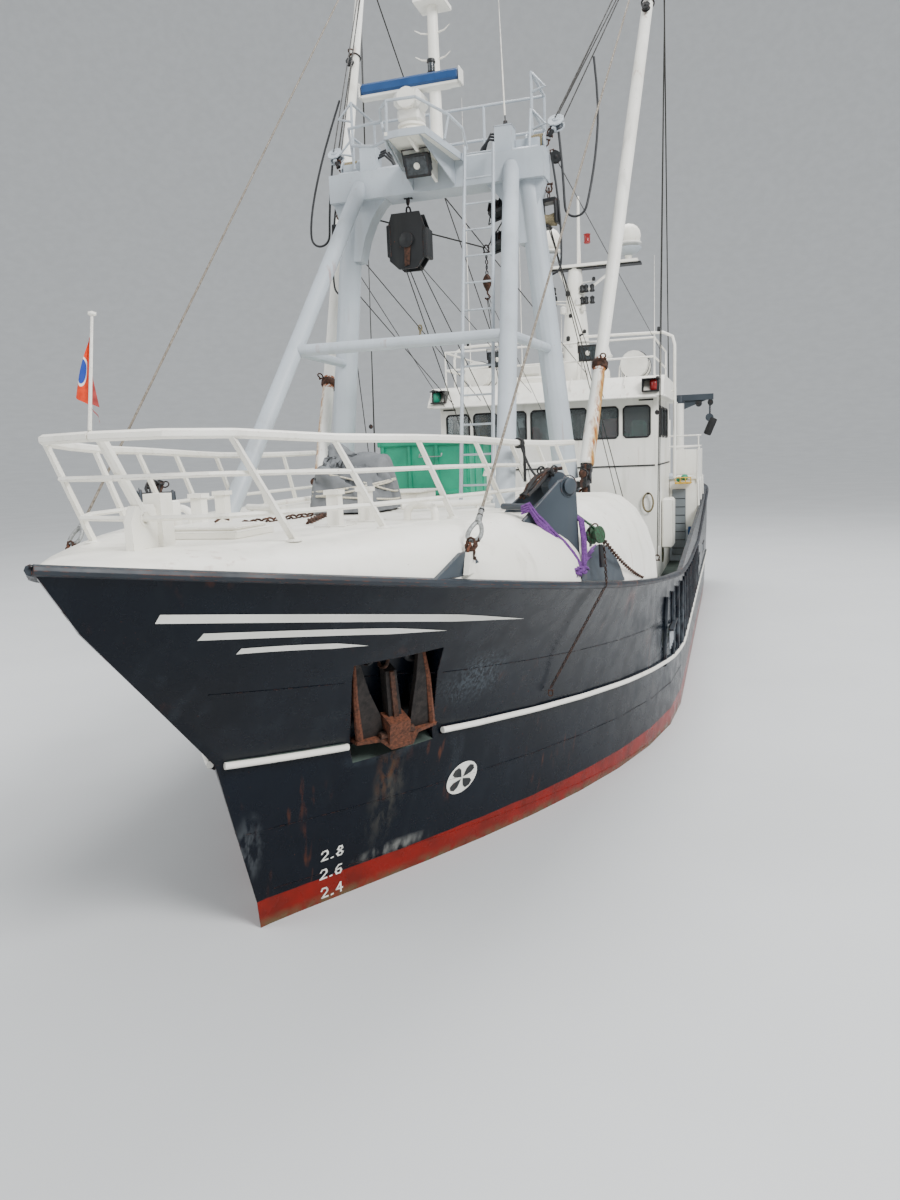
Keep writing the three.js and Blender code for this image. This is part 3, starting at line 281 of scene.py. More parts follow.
# %% Finishes by the record's slots
def plain_finish(name, coat, shade, rough, metal=0, size_mm=40, depth=0.0004, soft=0.004, **sockets):
    """A material of one substance: two tones in patches, fine bump, rounded edges."""
    material, tree, shader, place = blank(name)
    tone = patches(tree, place, size_mm, 0.35, 0.65, 4)
    rounded = node(tree, "Bevel", {"Radius": soft}, samples=4)
    grain = cloud(tree, place, 4000 / size_mm, 4)
    tree.links.new(cover(tree, paint(coat), paint(shade), tone), shader.inputs["Base Color"])
    spread = remap(tree, tone, 0, 1, rough, min(1, rough + 0.18))
    tree.links.new(spread, shader.inputs["Roughness"])
    bump = dented(tree, rounded, grain, depth)
    tree.links.new(bump, shader.inputs["Normal"])
    shader.inputs["Metallic"].default_value = metal
    for key, value in sockets.items():
        shader.inputs[key.replace("_", " ")].default_value = value
    return material


RUST = plain_finish("rusted_cast_iron", "#4a2a18", "#25170f", 0.75, size_mm=35, depth=0.003)
WIRE = plain_finish("greased_wire_rope", "#3b3936", "#23211e", 0.55, metal=0.4, size_mm=20, depth=0.002)
GUY = plain_finish("weathered_guy_wire", "#8f877b", "#665d51", 0.6, metal=0.3, size_mm=25, depth=0.002)
CANVAS = plain_finish("coated_canvas", "#74777a", "#5f6265", 0.8, size_mm=260, depth=0.004)
GREEN = plain_finish("green_polyethylene", "#008f6d", "#067d60", 0.42, size_mm=300)
GELCOAT = plain_finish("white_gelcoat", "#e8e7e1", "#d9d7cf", 0.25, size_mm=300)
BLUE = plain_finish("blue_moulded_plastic", "#0d3a6b", "#124478", 0.35, size_mm=200)
CLOTH = plain_finish("orange_polyester_bunting", "#dd3f14", "#bd3410", 0.75, size_mm=60)
BRONZE = plain_finish("cast_bronze", "#8d7a4a", "#5f6a4d", 0.4, metal=1, size_mm=90)
BOTTOM = plain_finish("red_antifouling", "#a5392d", "#7f332a", 0.7, size_mm=260, depth=0.002)
BLACK = plain_finish("black_rubber", "#0d0d0e", "#18181a", 0.65, size_mm=50)
SLOTS = {"hull_paint": HULL, "bottom_paint": BOTTOM, "white_paint": WHITE, "grey_paint": GREY,
    "slate_paint": SLATE, "rusty_iron": RUST, "wire_rope": WIRE, "canvas": CANVAS, "green_plastic": GREEN,
    "white_plastic": GELCOAT, "blue_plastic": BLUE, "flag_cloth": CLOTH, "bronze": BRONZE}
DECK = plain_finish("non_slip_deck_paint", "#46534c", "#36403b", 0.9, size_mm=350, depth=0.004)
LINE = plain_finish("white_braided_line", "#d8d3c4", "#aea691", 0.85, size_mm=14, depth=0.002)
GALVANISED = plain_finish("galvanised_iron", "#a2a4a3", "#7d7f7e", 0.45, metal=0.6, size_mm=30, depth=0.001)


def refinish(name, finish):
    """Gives a CAD node one finish."""
    materials = frame["nodes"][name].data.materials
    materials.clear()
    materials.append(finish)


for part in frame["record"]["subparts"]:
    refinish(part["node"], SLOTS[part["material_slot"]])
print("CAD nodes painted:", len(frame["nodes"]))

# %% [markdown]
# ## Meshes from plain shapes
# Deck gear is welded up from tube, bar and plate, so a few shape functions cover it. Each gives
# corners and faces in the ship's frame; a piece joins any number of them, sorted by finish, and
# rides on one CAD body. Curved faces are shaded smooth up to 40 degrees.

# %% Shapes
def bar(low, high, chamfer=0.006):
    """A box with chamfered edges."""
    (x0, y0, z0), (x1, y1, z1) = low, high
    c = min(chamfer, (x1 - x0) / 3, (y1 - y0) / 3, (z1 - z0) / 3)
    corners = {}
    points, faces = [], []
    for sx in (0, 1):
        for sy in (0, 1):
            for sz in (0, 1):
                base = [(x0, x1)[sx], (y0, y1)[sy], (z0, z1)[sz]]
                for axis in range(3):
                    moved = [b + (c if s == 0 else -c) * (k != axis)
                        for k, (b, s) in enumerate(zip(base, (sx, sy, sz)))]
                    corners[sx, sy, sz, axis] = len(points)
                    points.append(moved)
    for axis in range(3):
        u, w = (axis + 1) % 3, (axis + 2) % 3
        for side in (0, 1):
            ring = []
            for a, b in ((0, 0), (1, 0), (1, 1), (0, 1)):
                key = [0, 0, 0]
                key[axis], key[u], key[w] = side, a, b
                ring.append(corners[(*key, axis)])
            faces.append(ring if side else ring[::-1])
        for a in (0, 1):
            for b in (0, 1):
                key = lambda s: tuple(s if k == axis else (a if k == u else b) for k in range(3))
                ring = [corners[(*key(0), u)], corners[(*key(1), u)], corners[(*key(1), w)],
                    corners[(*key(0), w)]]
                faces.append(ring if a == b else ring[::-1])
    for (sx, sy, sz) in {k[:3] for k in corners}:
        ring = [corners[sx, sy, sz, k] for k in range(3)]
        faces.append(ring if (sx + sy + sz) % 2 else ring[::-1])
    return points, faces


def tube(path, radius, sides=8, closed=False, caps=True):
    """A round bar swept along a path. The radius is one number or one for each point."""
    path = [Vector(p) for p in path]
    count = len(path)
    radii = radius if isinstance(radius, (list, tuple)) else [radius] * count
    steps = [path[(i + 1) % count] - path[i] for i in range(count if closed else count - 1)]
    points, faces = [], []
    across = None
    for i, p in enumerate(path):
        before = steps[i - 1] if (i or closed) else steps[0]
        after = steps[i % len(steps)] if (i < len(steps) or closed) else steps[-1]
        along = (before.normalized() + after.normalized())
        along = along.normalized() if along.length > 1e-6 else after.normalized()
        if across is None:
            across = along.cross(Vector((0, 0, 1)) if abs(along.z) < 0.9 else Vector((1, 0, 0)))
        across = (across - along * across.dot(along)).normalized()
        other = along.cross(across)
        for k in range(sides):
            angle = 2 * math.pi * k / sides
            points.append(p + radii[i] * (math.cos(angle) * across + math.sin(angle) * other))
    for i in range(count if closed else count - 1):
        a, b = i * sides, ((i + 1) % count) * sides
        for k in range(sides):
            n = (k + 1) % sides
            faces.append([a + k, a + n, b + n, b + k])
    if caps and not closed:
        faces.append(list(range(sides))[::-1])
        faces.append([(count - 1) * sides + k for k in range(sides)])
    return points, faces


def turned(profile, start, end, sides=20):
    """A turned piece: the profile's pairs are the way along from start to end in metres, and the radius."""
    start, axis = Vector(start), (Vector(end) - Vector(start)).normalized()
    return tube([start + axis * t for t, _ in profile], [max(r, 0.0004) for _, r in profile], sides)


def upright(profile, foot, sides=20):
    """A turned piece that stands on its foot."""
    return turned(profile, foot, Vector(foot) + Vector((0, 0, 1)), sides)


def sideways(profile, start, way, sides=20):
    """A turned piece that runs to port where the way is 1 and to starboard where it is -1."""
    return turned(profile, start, Vector(start) + Vector((0, way, 0)), sides)


def angles(count):
    """Angles that share out a full turn."""
    return [2 * math.pi * k / count for k in range(count)]


def eased(path, closed=False):
    """The path with every point drawn halfway to its neighbours."""
    last = len(path) - 1
    near = (lambda k: path[k % (last + 1)]) if closed else (lambda k: path[min(max(k, 0), last)])
    return [(near(k - 1) + path[k] * 2 + near(k + 1)) / 4 for k in range(last + 1)]


def ring(centre, normal, across, thick, sides=20, round_sides=6):
    """A torus: a shackle, hoop or tyre. Across is its middle diameter and thick its bar's."""
    normal = Vector(normal).normalized()
    u = normal.orthogonal().normalized()
    w = normal.cross(u)
    path = [Vector(centre) + across / 2 * (math.cos(a) * u + math.sin(a) * w) for a in angles(sides)]
    return tube(path, thick / 2, round_sides, closed=True)


def plate(outline, thickness):
    """A flat plate: an outline of points, and the vector through its thickness."""
    outline, thickness = [Vector(p) for p in outline], Vector(thickness)
    n = len(outline)
    points = outline + [p + thickness for p in outline]
    normal = sum(((outline[i] - outline[0]).cross(outline[(i + 1) % n] - outline[0]) for i in range(1, n)),
        Vector())
    turn = normal.dot(thickness) > 0
    faces = [list(range(n))[::-1 if turn else 1], list(range(n, 2 * n))[::1 if turn else -1]]
    for i in range(n):
        side = [i, (i + 1) % n, n + (i + 1) % n, n + i]
        faces.append(side if turn else side[::-1])
    return points, faces


def ball(centre, radius, squash=(1, 1, 1), sides=14):
    """A ball or dome, squashed along the axes."""
    points, faces = upright([(radius * (1 - math.cos(a)), radius * math.sin(a))
        for a in (math.pi * k / 10 for k in range(11))], (0, 0, -radius), sides)
    return [Vector(centre) + Vector([c * s for c, s in zip(p, squash)]) for p in points], faces


SIDES = ((1, "port"), (-1, "starboard"))


def by(point, x, y, z):
    """A point so far away from another."""
    return Vector(point) + Vector((x, y, z))


def mirrored(shape):
    """The same shape on the other side of the ship."""
    points, faces = shape
    return [Vector((p[0], -p[1], p[2])) for p in points], [face[::-1] for face in faces]


def to_side(parts, side):
    """Parts that were drawn for the port side, mirrored where the side is -1."""
    return parts if side > 0 else [(mirrored(shape), finish) for shape, finish in parts]


def both_sides(parts):
    """The parts, and once more to starboard."""
    return parts + to_side(parts, -1)


def side_bar(side, low, high, chamfer=0.006):
    """A box that is given for the port side, on the side asked for."""
    inner, outer = sorted((side * low[1], side * high[1]))
    return bar((low[0], inner, low[2]), (high[0], outer, high[2]), chamfer)


def coat(finish, *shapes):
    """Several shapes with one finish."""
    return [(shape, finish) for shape in shapes]


def sag(a, b, drop, count=14):
    """Points along a line that hangs by drop below its chord at the middle."""
    a, b = Vector(a), Vector(b)
    return [a.lerp(b, t) - Vector((0, 0, 4 * drop * t * (1 - t)))
        for t in (k / count for k in range(count + 1))]


def piece(name, body, shapes, smooth=40):
    """Joins shapes, given as (shape, finish) pairs, into one piece that rides on a body."""
    points, faces, finishes, used = [], [], [], []
    for (corners, loops), finish in shapes:
        if finish not in used:
            used.append(finish)
        base = len(points)
        points.extend(tuple(p) for p in corners)
        faces.extend([base + k for k in loop] for loop in loops)
        finishes.extend([used.index(finish)] * len(loops))
    mesh = bpy.data.meshes.new(name)
    mesh.from_pydata(points, [], faces)
    for finish in used:
        mesh.materials.append(finish)
    mesh.polygons.foreach_set("material_index", finishes)
    mesh.polygons.foreach_set("use_smooth", [True] * len(faces))
    mesh.set_sharp_from_angle(angle=math.radians(smooth))
    made = bpy.data.objects.new(name, mesh)
    bpy.context.collection.objects.link(made)
    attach(made, body)
    print(name, len(faces), "faces")
    return made


print("a chamfered box has", len(bar((0, 0, 0), (1, 1, 1))[1]), "faces")

# %% [markdown]
# ## Fair plating
# Real plates are rolled to smooth curves, while the CAD model's are facets. A copy of each
# curved node with its corners welded and its normals smoothed stands for the node: nothing
# moves, only the way light turns over it.

# %% Smooth plating
def fair(name, angle=32):
    """Stands a smooth-shaded copy for a CAD node."""
    source = frame["nodes"][name]
    points, lookup, faces = [], {}, []
    index = []
    for vertex in source.data.vertices:
        key = tuple(round(c, 5) for c in vertex.co)
        if key not in lookup:
            lookup[key] = len(points)
            points.append(vertex.co.copy())
        index.append(lookup[key])
    for polygon in source.data.polygons:
        face = [index[k] for k in polygon.vertices]
        if len(set(face)) == len(face):
            faces.append(face)
    body = next(b for b, nodes in frame["record"]["behaviour"]["bodies"].items() if name in nodes)
    slot = next(p["material_slot"] for p in frame["record"]["subparts"] if p["node"] == name)
    made = piece(name + "_plating", body, [((points, faces), SLOTS[slot])], smooth=angle)
    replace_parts(made, name)
    return made


HULL_SKIN = fair("hull", 38)
PLATING = {name: fair(name) for name in ("whaleback", "bulwark_port", "bulwark_starboard", "bulwark_stern",
    "derrick_port", "derrick_starboard", "foredeck_rail_port", "foredeck_rail_starboard", "gantry_leg_port",
    "gantry_leg_starboard", "gantry_beam", "forward_mast", "aft_mast", "life_raft_port",
    "life_raft_starboard", "gantry_brace_port", "gantry_brace_starboard", "gantry_cross_pipe",
    "wheelhouse_roof", "house_front", "nozzle", "propeller", "rudder")}

# %% [markdown]
# ## Second coats
# Inside, the bulwarks are light grey to keep the working deck bright; the deck itself has paint
# with grit in it; and the top of the bulwark is rubbed to bare grey by ropes. The derricks
# shed rust from a collar a man's height above the foot, and it runs down their outboard side.

# %% Second coats
def second_coat(made, finish, chosen):
    """Paints the faces that pass the test with another finish."""
    made.data.materials.append(finish)
    picked = [polygon for polygon in made.data.polygons if chosen(polygon.center, polygon.normal)]
    for polygon in picked:
        polygon.material_index = len(made.data.materials) - 1
    print(made.name, len(picked), "faces in", finish.name)


WORN = painted_steel("scuffed_navy_rail_paint", "#10161e", "#262e36", rust=0.6, runs=0.1, gloss=0.45,
    soft=0.01)
second_coat(HULL_SKIN, DECK, lambda at, normal: normal.z > 0.8 and at.z > 1.1)
second_coat(HULL_SKIN, WHITE, lambda at, normal: normal.x < -0.9 and at.z > 1.25 and at.x > 2)
BULWARKS = ("bulwark_port", "bulwark_starboard", "bulwark_stern")
for name in BULWARKS:
    skin = PLATING[name]
    inboard = lambda at: Vector((-9 - at.x if name == "bulwark_stern" else 0, -at.y, 0)).normalized()
    second_coat(skin, GREY, lambda at, normal: normal.dot(inboard(at)) > 0.3)
    second_coat(skin, WORN, lambda at, normal: normal.z > 0.8)
COLLAR = 1.6               # metres up the derrick from its heel to the rusting collar
BARE_ROUND_HEEL = 0.36     # the gantry leg is black within this distance of the heel
derrick_line, heel = Vector((-0.4318, 0.0657, 0.8996)), Vector((3.93, 1.96, 3.7))
DERRICK = painted_steel("white_derrick_paint", "#eeede7", "#dcdad0", rust=0.5, runs=0.3)
tree, shader, place, colour = reopened(DERRICK)
folded = vector(tree, "ABSOLUTE", place)
arm = vector(tree, "SUBTRACT", folded, heel)
way = vector(tree, "DOT_PRODUCT", arm, derrick_line)
off = vector(tree, "DOT_PRODUCT", arm, (0.028, 0.996, -0.059))
streaked = both(tree, remap(tree, way, COLLAR + 0.08, COLLAR), remap(tree, off, 0, 0.07))
for tone, size_mm, low, high in (("#b08a4c", 70, 0.36, 0.52), ("#9a5a26", 34, 0.5, 0.6),
        ("#6a3517", 18, 0.6, 0.68)):
    colour = cover(tree, colour, paint(tone),
        both(tree, streaked, patches(tree, place, size_mm, low, high, 5, (1, 1, 0.1))))
round_collar = node(tree, "Math", {0: way, 1: COLLAR, 2: 0.1}, operation="COMPARE")
colour = cover(tree, colour, paint("#8c4a1d"),
    both(tree, round_collar, patches(tree, place, 40, 0.38, 0.5, 5)))
tree.links.new(colour, shader.inputs["Base Color"])
for tail in ("port", "starboard"):
    PLATING["derrick_" + tail].data.materials[0] = DERRICK
    second_coat(PLATING["gantry_leg_" + tail], DARK, lambda at,
        normal: (Vector((at.x, abs(at.y), at.z)) - heel).length < BARE_ROUND_HEEL)

# %% [markdown]
# ## Following the plating
# Marks, seams and mouldings lie on the hull and its bulwarks, so they need that surface. Rays
# cast inboard find the plating at a height, rays cast down find the whaleback, and the rail's
# line repeats the formula that the CAD model draws the sheer with.

# %% Finding the plating
def tree_of(*made):
    """A search tree over the faces of one or more pieces."""
    corners, faces = [], []
    for thing in made:
        faces += [[len(corners) + k for k in p.vertices] for p in thing.data.polygons]
        corners += [v.co for v in thing.data.vertices]
    return BVHTree.FromPolygons(corners, faces)


HULL_TREE = tree_of(HULL_SKIN, *[PLATING[name] for name in BULWARKS])
WHALEBACK_TREE = tree_of(PLATING["whaleback"])


def look_inboard(tree, x, z, side):
    """Where a level ray from outboard meets the tree's faces, and the normal there."""
    return tree.ray_cast(Vector((x, side * 6, z)), Vector((0, -side, 0)))[:2]


def on_side(x, z, side=1, out=0.004):
    """The point on the hull's side at (x, z), lifted out by a few millimetres."""
    at, normal = look_inboard(HULL_TREE, x, z, side)
    return at + normal * out if at else Vector((x, side * 0.02, z))


def on_top(x, y, out=0.004):
    """The point on the whaleback under (x, y)."""
    at, normal, _, _ = WHALEBACK_TREE.ray_cast(Vector((x, y, 6)), Vector((0, 0, -1)))
    return at + normal * out if at else Vector((x, y, 3.44))


def rail_line(x, side=1, lift=0, inset=0):
    """The bulwark's top edge: level amidships and rising to both ends."""
    z = 1.95 + 1.53 * max(0, (x + 1) / 13) ** 1.6 + max(0, (-4 - x) / 8) ** 1.1
    y = 3.1
    if x > 2:
        t = min(1, (x - 2) / 9.88)
        y *= max(0, 1 - 0.25 * t ** 1.24 - 0.75 * t ** 6.05) ** (1 / 0.78)
    elif x < -9.3:
        t = min(1, (-9.3 - x) / 2.7) ** 3
        y *= math.sqrt(max(0, 1 - t * t)) ** 0.4
    return Vector((x, side * max(0, y - inset), z + lift))


def grid(rows):
    """A surface over rows of points, each row as long as the next."""
    n = len(rows[0])
    faces = [[i * n + k, i * n + k + 1, (i + 1) * n + k + 1, (i + 1) * n + k] for i in range(len(rows) - 1)
        for k in range(n - 1)]
    return [p for row in rows for p in row], faces


def painted_band(line, width, side, count=60):
    """A band of paint on the hull: line and width are functions of the way along, 0 to 1."""
    rows = []
    for i in range(count + 1):
        (x, z), w = line(i / count), width(i / count)
        rows.append([on_side(x, z + w * s, side) for s in ((-1, 0, 1) if side > 0 else (1, 0, -1))])
    return grid(rows)


print("the rail rises from", round(rail_line(0).z, 2), "to", round(rail_line(11).z, 2), "m")

# %% [markdown]
# ## Marks on the topsides
# The white half-round at the knuckle stops at the anchor pocket and takes up again ahead of it.
# Above it run plain tapering stripes, and low down are the draught marks, a tenth of a metre
# high and two tenths apart, and the disc that warns of the thruster's tunnel.

# %% Strake, stripes and marks
def strake_line(x, side=1):
    """The knuckle's line from the working deck to the stem."""
    t = (x - 2) / 8.18
    return Vector((x, side * 3.1 * max(0, 1 - t ** 1.9) ** (1 / 1.05), 0.85 + 1.01 * ((x + 1) / 13) ** 1.6))


MARK = plain_finish("white_mark_paint", "#e6e5de", "#dcdbd2", 0.5, size_mm=400)
STROKES = {"2": [(0, .8), (.2, 1), (.8, 1), (1, .8), (1, .6), (0, 0), (1, 0)],
    "4": [(.75, 0), (.75, 1), (0, .35), (1, .35)], "6": [(.9, .97), (.45, .97), (.1, .7), (0, .3), (.2, 0),
    (.8, 0), (1, .28), (.8, .52), (.1, .45)], "8": [(.5, .53), (.1, .75), (.3, 1), (.7, 1), (.9, .75),
    (.5, .53), (0, .25), (.25, 0), (.75, 0), (1, .25), (.5, .53)], ".": [(.4, 0), (.6, .02)]}


def stroke(a, b, width, side):
    """One straight stroke of a digit, from a to b in (x, z)."""
    dx, dz = b[0] - a[0], b[1] - a[1]
    length = math.hypot(dx, dz)
    ux, uz = dx / length * width / 2, dz / length * width / 2
    rows = [[on_side(a[0] - ux - uz, a[1] - uz + ux, side, 0.006),
        on_side(a[0] - ux + uz, a[1] - uz - ux, side, 0.006)],
        [on_side(b[0] + ux - uz, b[1] + uz + ux, side, 0.006),
        on_side(b[0] + ux + uz, b[1] + uz - ux, side, 0.006)]]
    return grid(rows)


DISC_X, DISC_Z = 7.92, 0.82
DIGIT_HIGH, DIGIT_WIDE, DIGIT_STEP = 0.092, 0.05, 0.066
marks = []
for side in (1, -1):
    outward = lambda at: at + Vector((0.35, side, 0)).normalized() * 0.032 if at.x > 6 else by(at, 0,
        side * 0.032, 0)
    marks.append((tube([outward(strake_line(9.24 + 0.9 * i / 14, side)) for i in range(15)], 0.03, 10),
        WHITE))
    for x0, z0, x1, z1, wide in ((11.22, 3.03, 8.2, 2.5, 0.03), (10.95, 2.86, 9.1, 2.56, 0.025),
            (10.66, 2.7, 9.75, 2.56, 0.021)):
        line = lambda t, a=(x0, z0), b=(x1, z1): (a[0] + (b[0] - a[0]) * t, a[1] + (b[1] - a[1]) * t
            + 0.05 * t * (1 - t))
        marks.append((painted_band(line, lambda t, w=wide: w * min(1, (1 - t) * 3.2 + 0.02), side), MARK))
    for text, z in (("2.4", 0.05), ("2.6", 0.245), ("2.8", 0.44)):
        for k, letter in enumerate(text):
            x = 9.16 - DIGIT_STEP * k if side > 0 else 9.03 + DIGIT_STEP * k
            path = [(x - side * DIGIT_WIDE * u + 0.14 * (z + DIGIT_HIGH * v), z + DIGIT_HIGH * v)
                for u, v in STROKES[letter]]
            marks += [(stroke(a, b, 0.015, side), MARK) for a, b in zip(path, path[1:])]
    disc = [[on_side(DISC_X + r * math.cos(a), DISC_Z + r * math.sin(a), side, 0.004)
        for a in (2 * math.pi * k / 32 * side for k in range(33))] for r in (0.17, 0.1, 0.002)]
    marks.append((grid(disc), MARK))
    for k in range(4):
        turn = math.pi / 2 * k + math.pi / 4
        rows = []
        for r, half in ((0.015, 0.1), (0.05, 0.42), (0.1, 0.46), (0.14, 0.3), (0.15, 0.02)):
            rows.append([on_side(DISC_X + r * math.cos(turn + s * half), DISC_Z
                + r * math.sin(turn + s * half), side, 0.008)
                for s in ((-1, 0, 1) if side < 0 else (1, 0, -1))])
        marks.append((grid(rows), DARK))
piece("topside_marks", "ship", marks)
for side, tail in SIDES:
    bar_tree = tree_of(frame["nodes"]["strake_" + tail])
    path = []
    for x in (-10.13 + 18.51 * i / 80 for i in range(81)):
        struck = [z for z in (0.86 + 0.008 * k for k in range(82)) if look_inboard(bar_tree, x, z, side)[0]]
        path.append(on_side(x, sum(struck) / len(struck), side, 0))
    path = eased(path)
    proud = [p + Vector((0.03 * max(0, (p.x - 5) / 5), side * 0.03, 0)) for p in path]
    moulding = piece("strake_moulding_" + tail, "ship",
        [(tube(path, 0.048, 10), HULL), (tube(proud, 0.031, 10), WHITE)])
    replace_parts(moulding, "strake_" + tail)

# %% [markdown]
# ## Seams and fenders
# Weld seams follow the sheer and show only as thin shadows. The bulwark's top is a half-round,
# and bars of it run down the side where the gear comes aboard.

# %% Seams, rail moulding and fender bars
seams, mouldings, fenders = [], [], []
for side in (1, -1):
    for z0, z1, x0, x1 in ((0.62, 0.95, 2, 9.9), (1.62, 2.35, 3, 10.6), (-0.02, 0.33, 2, 9.6)):
        path = [on_side(x0 + (x1 - x0) * i / 40, z0 + (z1 - z0) * (i / 40) ** 1.5, side, 0)
            for i in range(41)]
        seams.append((tube(path, 0.005, 4), HULL))
    stations = [-11.6 + 0.25 * i for i in range(94)] + [11.86]
    mouldings.append((tube([rail_line(x, side, -0.022, 0) for x in stations], 0.036, 8), WORN))
    for i in range(15):
        x = 3.6 - 0.52 * i
        path = [on_side(x, z, side, 0.012) for z in (0.98, 1.2, 1.45, 1.7, min(1.95, rail_line(x).z - 0.07))]
        fenders.append((tube([p for p in path if p.y * side > 2], 0.034, 8), HULL))
piece("plate_seams", "ship", seams)
piece("rail_moulding", "ship", mouldings)
piece("fender_bars", "ship", fenders)

# %% [markdown]
# ## The anchor in its pocket
# A stockless anchor hangs in a recess in the flare, its flukes spread against the back plate and
# its crown across the foot. It is cast steel, never painted for long, so it is brown all over;
# its flukes and shank are drawn near black as painted shade, where the pocket shadows them.
# It is drawn in the pocket's own frame and turned into place.

# %% Anchor
LEAN, TURN, POCKET = -0.48, -0.6, Vector((8.93, 0.946, 1.977))


def in_pocket(shape):
    """From the pocket's frame (along, out, up) to the ship's."""
    turn = Matrix.Translation(POCKET) @ Matrix.Rotation(TURN, 4, "Z") @ Matrix.Rotation(LEAN, 4, "X")
    return [turn @ Vector(p) for p in shape[0]], shape[1]


slant = lambda points: [(across + 0.24 * up, out, up) for across, out, up in points]
# Near-black iron for the flukes and shank: painted shade where the pocket shadows them.
SHADED_IRON = plain_finish("bower_iron_painted_shade", "#221a16", "#120e0c", 0.7, size_mm=60, depth=0.003)
ORE = plain_finish("bright_rusted_iron", "#6b3a22", "#3f2416", 0.75, size_mm=30, depth=0.003)
flukes = (((-0.41, 0.16, -0.36), (-0.16, 0.16, -0.33), (-0.19, 0.14, -0.12), (-0.25, 0.1, 0.2),
    (-0.28, 0.07, 0.46), (-0.33, 0.07, 0.49), (-0.38, 0.09, 0.2)), ((0.12, 0.16, -0.33), (0.37, 0.16, -0.36),
    (0.385, 0.11, 0.1), (0.37, 0.07, 0.49), (0.31, 0.07, 0.46), (0.24, 0.1, 0.16), (0.15, 0.14, -0.1)))
anchor = []
for outline, edge in zip(flukes, ((0, 6, 5), (1, 2, 3))):
    anchor.append((plate(slant(outline), (0, 0.05, 0)), SHADED_IRON))
    spine = slant([outline[k] for k in edge])
    anchor.append((tube([Vector(p) + Vector((0, 0.05, 0)) for p in spine], [0.035, 0.026, 0.014], 6), ORE))
palm = slant([(-0.45, 0.1, -0.42), (-0.44, 0.24, -0.36), (-0.22, 0.27, -0.36), (-0.13, 0.32, -0.44),
    (0.1, 0.32, -0.44), (0.19, 0.27, -0.36), (0.42, 0.24, -0.36), (0.43, 0.1, -0.42)])
box = [(-0.1, 0.14, -0.4), (0.12, 0.14, -0.4), (0.12, 0.14, -0.13), (-0.1, 0.14, -0.13)]
shank = [(-0.065, 0.13, -0.2), (0.075, 0.13, -0.2), (0.06, 0.02, 0.32), (-0.05, 0.02, 0.32)]
anchor += coat(ORE, plate(palm, (0, 0, 0.04)), plate(slant(box), (0, 0.17, 0)))
anchor += coat(SHADED_IRON, plate(slant(shank), (0, 0.1, 0)))
anchor += coat(RUST, plate(slant([(x * 0.4, y + 0.1, z) for x, y, z in shank]), (0, 0.02, 0)),
    tube(slant([(-0.17, 0.25, -0.3), (0.19, 0.25, -0.3)]), 0.035, 10),
    ring((0.12, 0.03, 0.38), (1, 0, 0.2), 0.13, 0.035))
anchor += coat(DARK, ring((-0.2, 0.03, 0.42), (0, 1, 0), 0.17, 0.07))
anchor += coat(BLACK, sideways([(0, 0.11), (0.02, 0.09), (0.02, 0)], (-0.2, 0, 0.42), 1, 16))
anchor += [(ring((0.31 + 0.03 * k, 0.06, 0.47 + 0.03 * k), (1, 0.4 * k, 0.5), 0.12, 0.035), DARK)
    for k in (0, 1)]
anchor = [(in_pocket(shape), finish) for shape, finish in anchor]
for side, tail in SIDES:
    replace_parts(piece("anchor_" + tail + "_cast", "ship", to_side(anchor, side)), "anchor_"
        + tail)

# %% [markdown]
# ## The bow's fittings
# On the whaleback's edge stand the guy's eye plates, each with a rusty shackle and the socket
# of the guy. Rings, a roller and a purple sling are lashed round the bow bracket, and a slate
# doubler plate saves the white plating behind it from the chains.

# %% Bow fittings
PURPLE = plain_finish("purple_polyester_sling", "#6f3d86", "#532c68", 0.8, size_mm=18, depth=0.002)
ROPE = plain_finish("weathered_polyester_rope", "#93876a", "#6d634b", 0.9, size_mm=14, depth=0.003)
GREENISH = plain_finish("weathered_green_block", "#174f30", "#2c2f20", 0.6, size_mm=25, depth=0.001)


def shackle(at, along, size, finish=RUST, across=(0, 1, 0)):
    """A bow shackle: the pin lies at the point, the bow runs along."""
    x, at = Vector(along).normalized(), Vector(at)
    y = Vector(across) - x * x.dot(Vector(across))
    y = y.normalized() if y.length > 0.2 else x.orthogonal().normalized()
    bow = [at + (y * w + x * l) * size for w, l in ((-0.3, 0), (-0.32, 0.3), (-0.42, 0.6), (-0.3, 0.92),
        (0, 1.06), (0.3, 0.92), (0.42, 0.6), (0.32, 0.3), (0.3, 0))]
    return [(tube(bow, size * 0.12, 7), finish),
        (tube([at - y * size * 0.46, at + y * size * 0.44], size * 0.12, 8), finish),
        (turned([(0, 0.2 * size), (0.1 * size, 0.2 * size)], at + y * size * 0.42, at + y * size, 6), finish)]


def chain(path_ends, link, finish=RUST, drop=0):
    """Chain links along a sagging line, each turned a quarter from the last."""
    a, b = Vector(path_ends[0]), Vector(path_ends[1])
    count = max(2, int((b - a).length / (link * 0.8)))
    line = sag(a, b, drop, count)
    shapes = []
    for k in range(count):
        middle, along = (line[k] + line[k + 1]) / 2, (line[k + 1] - line[k]).normalized()
        side = along.orthogonal().normalized()
        if k % 2:
            side = along.cross(side)
        loop = [middle + along * link * 0.42 * math.cos(t) + side * link * 0.25 * math.sin(t)
            for t in angles(8)]
        shapes.append((tube(loop, link * 0.11, 5, closed=True), finish))
    return shapes


